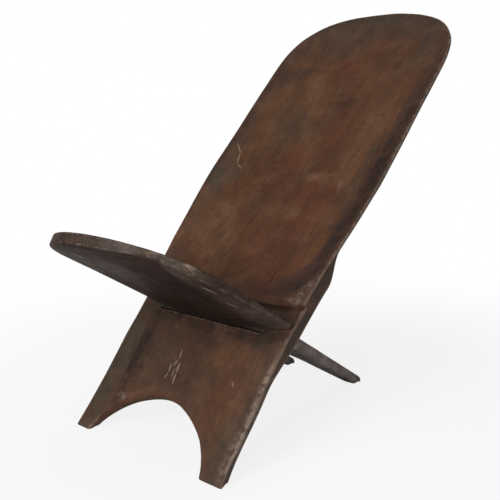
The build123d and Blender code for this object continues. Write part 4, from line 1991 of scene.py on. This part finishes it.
BACK_FRONT = tuple(TonePatch(*patch) for patch in (
    # the blade: weathered crown, bleached left side, oiled middle
    (GREY, (0.0, 0.805), (0.2, 0.05), 0.7),
    (GREY, (-0.06, 0.55), (0.04, 0.05), 0.55, 25.0),
    (GREY, (-0.132, 0.445), (0.026, 0.038), 0.8),
    (GREY, (0.113, 0.73), (0.016, 0.06), 0.75),
    (GREY, (-0.04, 0.735), (0.05, 0.03), 0.45, 40.0),
    (VIOLET, (-0.118, 0.668), (0.042, 0.02), 0.55, 20.0),
    (RED, (0.0, 0.69), (0.06, 0.045), 0.6),
    (RED, (0.045, 0.54), (0.03, 0.06), 0.55),
    (RED, (-0.02, 0.455), (0.042, 0.055), 0.95, 10.0),
    (RED, (0.06, 0.42), (0.06, 0.02), 0.8),
    (RED, (0.05, 0.33), (0.055, 0.07), 0.8),
    (OCHRE, (-0.1, 0.6), (0.045, 0.08), 0.35),
    (OCHRE, (-0.048, 0.63), (0.02, 0.075), 0.65, 22.0),
    (OCHRE, (0.085, 0.56), (0.028, 0.075), 0.5),
    (OCHRE, (-0.122, 0.408), (0.026, 0.018), 0.7),
    (OCHRE, (-0.085, 0.345), (0.034, 0.06), 0.75, 20.0),
    (OCHRE, (-0.142, 0.35), (0.008, 0.06), 0.7),
    (OCHRE, (0.01, 0.388), (0.07, 0.012), 0.5),
    (OCHRE, (0.044, 0.456), (0.028, 0.008), 0.85, 12.0),
    (PALE, (0.034, 0.458), (0.014, 0.005), 0.16, 12.0),
    (PALE, (0.092, 0.443), (0.004, 0.012), 0.16, 20.0),
    (DARK, (0.012, 0.602), (0.03, 0.018), 0.45),
    (DARK, (0.01, 0.77), (0.12, 0.06), 0.13),
    (DARK, (-0.135, 0.5), (0.03, 0.12), 0.14),
    (DARK, (-0.01, 0.13), (0.055, 0.055), 0.16),
    (DARK, (-0.04, 0.47), (0.016, 0.05), 0.4, 12.0),
    (DARK, (0.1, 0.422), (0.022, 0.016), 0.5),
    (DARK, (-0.026, 0.34), (0.007, 0.06), 0.3, 8.0),
    (DARK, (-0.152, 0.56), (0.007, 0.2), 0.45),
    # the hollow's right slope, darkened with grime and painted shade
    (DARK, (0.143, 0.48), (0.012, 0.11), 0.7),
    (GREY, (0.116, 0.46), (0.008, 0.07), 0.55),
    (DARK, (0.128, 0.35), (0.016, 0.075), 0.45),
    (DARK, (0.154, 0.5), (0.007, 0.18), 0.62),
    (DARK, (0.144, 0.35), (0.006, 0.06), 0.45),
    # its lip and the rim beside it, rubbed pale
    (PALE, (0.131, 0.262), (0.006, 0.026), 0.5, -10.0),
    (PALE, (0.122, 0.248), (0.012, 0.005), 0.45),
    (RED, (0.09, 0.243), (0.05, 0.006), 0.8),
    # painted shadow in the crevice under the lip
    (DARK, (0.075, 0.2335), (0.06, 0.0035), 0.85),
    (VIOLET, (0.11, 0.218), (0.03, 0.012), 0.5),
    # the lower panel: grey borders, reddened right half
    (GREY, (-0.12, 0.11), (0.022, 0.12), 0.85),
    # painted shade in the crease inside the left border
    (VIOLET, (-0.09, 0.125), (0.007, 0.06), 0.85),
    (DARK, (-0.084, 0.13), (0.016, 0.07), 0.5),
    # painted shadow of the seat on the panel, darkest where the seat meets it
    (DARK, (-0.04, 0.19), (0.08, 0.022), 0.55),
    (DARK, (0.0, 0.188), (0.125, 0.012), 0.8),
    (DARK, (-0.02, 0.18), (0.11, 0.022), 0.4),
    (DARK, (0.085, 0.196), (0.045, 0.01), 0.8),
    (DARK, (0.112, 0.199), (0.03, 0.007), 0.85),
    (DARK, (0.02, 0.19), (0.11, 0.008), 0.6),
    # more painted shade in that crease
    (DARK, (-0.088, 0.118), (0.006, 0.062), 0.65),
    (GREY, (-0.05, 0.13), (0.035, 0.035), 0.35),
    (RED, (0.085, 0.11), (0.04, 0.065), 0.7),
    (OCHRE, (0.065, 0.145), (0.04, 0.03), 0.45),
    (OCHRE, (0.105, 0.085), (0.024, 0.05), 0.55),
    (OCHRE, (0.092, 0.14), (0.04, 0.04), 0.45),
    (GREY, (0.105, 0.18), (0.022, 0.01), 0.7),
    (DARK, (0.018, 0.108), (0.003, 0.003), 0.7),
    (OCHRE, (-0.078, 0.078), (0.026, 0.006), 0.75, -50.0),
    (PALE, (-0.08, 0.062), (0.008, 0.005), 0.35),
    (OCHRE, (-0.118, 0.02), (0.014, 0.014), 0.7),
    (GREY, (0.127, 0.1), (0.006, 0.09), 0.6),
    (GREY, (0.118, 0.04), (0.014, 0.04), 0.65),
    (PALE, (0.134, 0.11), (0.0035, 0.085), 0.8),
    (PALE, (0.13, 0.045), (0.007, 0.04), 0.26),
    (DARK, (0.124, 0.09), (0.003, 0.03), 0.45),
    (PALE, (0.096, 0.006), (0.006, 0.004), 0.4),
    (PALE, (-0.104, 0.006), (0.006, 0.004), 0.4),
))
BACK_REAR = tuple(TonePatch(*patch) for patch in (
    (GREY, (0.0, 0.7), (0.16, 0.11), 0.45),
    (DARK, (0.06, 0.48), (0.06, 0.11), 0.35, 15.0),
    (OCHRE, (-0.05, 0.4), (0.05, 0.08), 0.35),
    (DARK, (0.0, 0.24), (0.13, 0.05), 0.4),
    (GREY, (0.0, 0.08), (0.14, 0.06), 0.5),
))
SEAT_UNDER = tuple(TonePatch(*patch) for patch in (
    # painted light: the front left of the underside made paler, as if lit
    (GREY, (-0.07, -0.18), (0.07, 0.05), 0.8, 20.0),
    (ASH, (-0.075, -0.175), (0.08, 0.06), 0.19, 20.0),
    (VIOLET, (0.02, -0.175), (0.04, 0.03), 0.45, 30.0),
    # painted shade: the underside darker towards the back and to the right, where the back shuts
    # out the light
    (DARK, (0.01, -0.06), (0.1, 0.064), 0.8),
    (DARK, (0.06, -0.12), (0.06, 0.06), 0.65, 30.0),
    # painted light: a lit band along the underside's right side
    (OCHRE, (0.122, -0.07), (0.024, 0.09), 0.35),
    (ASH, (0.122, -0.07), (0.026, 0.095), 0.14),
    (PALE, (-0.122, -0.1), (0.01, 0.085), 0.4),
    (DARK, (0.0, -0.235), (0.075, 0.0022), 0.8),
    # painted shade along the root, where the underside meets the back
    (DARK, (0.03, -0.025), (0.095, 0.03), 0.55),
    (DARK, (0.0, -0.004), (0.14, 0.01), 0.75),
    (ASH, (0.06, -0.234), (0.045, 0.009), 0.16),
    (ASH, (0.108, -0.198), (0.014, 0.032), 0.16),
    (VIOLET, (0.06, -0.15), (0.06, 0.06), 0.35, 30.0),
    (PALE, (-0.062, -0.195), (0.012, 0.004), 0.5, 60.0),
    (PALE, (-0.09, -0.14), (0.012, 0.004), 0.5, 60.0),
    # the tail made pale: its grey dry wood, and painted light that stands in for light it lacks
    (ASH, (0.0, 0.165), (0.15, 0.155), 0.85),
))
SEAT_TOP = tuple(TonePatch(*patch) for patch in (
    (PALE, (0.121, -0.188), (0.012, 0.008), 0.9, 40.0),
    (PALE, (0.088, -0.222), (0.014, 0.004), 0.55, 60.0),
    (ASH, (0.06, -0.234), (0.045, 0.009), 0.16),
    (ASH, (0.108, -0.198), (0.014, 0.032), 0.16),
    (RED, (0.0, -0.12), (0.09, 0.08), 0.4),
    (OCHRE, (0.04, -0.06), (0.05, 0.04), 0.35),
    (DARK, (-0.04, -0.15), (0.06, 0.05), 0.3),
    # the tail made pale: its grey dry wood, and painted light that stands in for light it lacks
    (ASH, (0.0, 0.165), (0.15, 0.155), 0.8),
))
BACK_PATCHES = {Sheet.OUTER: BACK_FRONT, Sheet.INNER: BACK_REAR}
SEAT_PATCHES = {Sheet.OUTER: SEAT_TOP, Sheet.INNER: SEAT_UNDER}


# ---- The studio ----
@dataclass(frozen=True)
class Lamp:
    """A square soft lamp."""

    name: str
    at: Triple
    size: float  # length of its side
    power: float  # in watts


@dataclass(frozen=True)
class Studio:
    """Camera, lamps, floor and surroundings."""

    lens: float = 53.04
    sensor: float = 36.0
    azimuth: float = math.radians(41.199)  # turned left of +Y
    pitch: float = math.radians(11.257)  # looking down
    roll: float = math.radians(-0.609)
    camera_at: Triple = (0.6774, -0.8083, 0.4355)
    lamps: tuple[Lamp, ...] = (
        Lamp("key", (-0.2, -2.8, 1.35), 1.2, 84.0), Lamp("overhead", (0.2, -0.6, 2.9), 2.0, 20.0),
        Lamp("side", (2.4, -0.8, 0.35), 1.0, 24.0), Lamp("rear", (-0.6, 2.6, 1.5), 1.6, 28.0))
    aim: Triple = (0.0, 0.0, 0.28)  # the middle of the chair, which they face
    ambient: float = 0.22
    floor_radius: float = 12.0
    floor_sides: int = 96
    floor_height: float = -0.0004
    floor_tone: Triple = (0.62, 0.62, 0.62)
    floor_white: float = 0.84  # how far the floor is lifted towards white
    shadow_reach: Pair = (0.30, 0.95)  # the shadow fades to white between

    def camera(self) -> None:
        """Set up the camera: right, up and backward directions from its three angles."""
        sa, ca = math.sin(self.azimuth), math.cos(self.azimuth)
        sp, cp = math.sin(self.pitch), math.cos(self.pitch)
        right = np.array([ca, sa, 0.0])
        ahead = np.array([-sa * cp, ca * cp, -sp])
        up = np.cross(right, ahead)
        sr, cr = math.sin(self.roll), math.cos(self.roll)
        matrix = np.eye(4)
        matrix[:3, 0], matrix[:3, 1] = cr * right + sr * up, -sr * right + cr * up
        matrix[:3, 2], matrix[:3, 3] = -ahead, self.camera_at
        data = bpy.data.cameras.new("camera")
        data.lens, data.sensor_width = self.lens, self.sensor
        camera = placed("camera", data)
        camera.matrix_world = Matrix(matrix.tolist())
        bpy.context.scene.camera = camera

    def light(self, lamp: Lamp) -> None:
        """Hang a lamp and turn it to the middle of the chair.

        Args:
            lamp: The lamp.
        """
        data = bpy.data.lights.new(lamp.name, "AREA")
        data.shape, data.size, data.energy = "SQUARE", lamp.size, lamp.power
        hung = placed(lamp.name, data)
        hung.location = lamp.at
        hung.rotation_mode = "QUATERNION"
        hung.rotation_quaternion = (Vector(self.aim) - Vector(lamp.at)).to_track_quat("-Z", "Y")

    def surroundings(self) -> None:
        """White to the camera and to rays sent through, a plain soft grey as light."""
        world = bpy.data.worlds.new("studio")
        world.use_nodes = True
        world.node_tree.nodes.clear()
        desk = Desk(world.node_tree)
        path = desk.add("LightPath", {}).outputs
        seen = desk.math("MAXIMUM", path["Is Camera Ray"], path["Is Transmission Ray"])
        grey = desk.add("Background", {"Color": WHITE, "Strength": self.ambient})
        white = desk.add("Background", {"Color": WHITE, "Strength": 1.0})
        mixed = desk.add("MixShader", {0: seen, 1: grey.outputs[0], 2: white.outputs[0]})
        desk.add("OutputWorld", {"Surface": mixed.outputs[0]})
        bpy.context.scene.world = world

    def floor_finish(self) -> bpy.types.Material:
        """Pale and matt, but lifted towards white where the camera sees it.

        Returns:
            The material.
        """
        made = bpy.data.materials.new("pale_floor")
        made.use_nodes = True
        made.node_tree.nodes.clear()
        desk = Desk(made.node_tree)
        path = desk.add("LightPath", {})
        place = desk.add("TexCoord", {}).outputs["Object"]
        away = desk.measure("LENGTH", place)
        matt = desk.add("BsdfDiffuse", {"Color": self.floor_tone})
        glow = desk.add("Emission", {"Color": WHITE, "Strength": 1.0})
        lifted = desk.span(away, *self.shadow_reach, self.floor_white, 1.0)
        share = desk.math("MULTIPLY", path.outputs["Is Camera Ray"], lifted)
        mixed = desk.add("MixShader", {0: share, 1: matt.outputs[0], 2: glow.outputs[0]})
        desk.add("OutputMaterial", {"Surface": mixed.outputs[0]})
        return made

    def floor(self) -> None:
        """A round floor: points at even angles on a circle, just below the feet."""
        turn = np.linspace(0.0, 2 * math.pi, self.floor_sides + 1)[:-1]
        ring = self.floor_radius * np.stack([np.cos(turn), np.sin(turn), 0.0 * turn], axis=1)
        ring[:, 2] = self.floor_height
        mesh = bpy.data.meshes.new("floor")
        mesh.from_pydata(ring.tolist(), [], [list(range(len(ring)))])
        mesh.materials.append(self.floor_finish())
        placed("floor", mesh)

    def build(self) -> None:
        """Set up everything round the chair."""
        bpy.context.scene.view_settings.view_transform = "Standard"
        self.camera()
        for lamp in self.lamps:
            self.light(lamp)
        self.surroundings()
        self.floor()


def main() -> None:
    """Build the studio and both planks, and write how large the chair came out."""
    logging.basicConfig(level=logging.INFO, format="%(message)s")
    Studio().build()
    groups = Groups(grain_group(), patches_group(), wear_group(), scratch_group(), crack_group())
    face = FrontFace()
    tail = Tail(face)
    planks = ((BackPlank(face, tail, BACK_PATCHES), BACK_WOOD, "back"),
              (SeatPlank(face, tail, SEAT_PATCHES), SEAT_WOOD, "seat"))
    for plank, finish, body in planks:
        piece = plank.build(f"{body}_plank_carved")
        piece.data.materials.append(finish.material(plank.datum(), groups))
        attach(piece, body)
        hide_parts(f"{body}_plank")
        log.info("%s rides on %s, finished in %s", piece.name, body, finish.name)


if __name__ == "__main__":
    main()
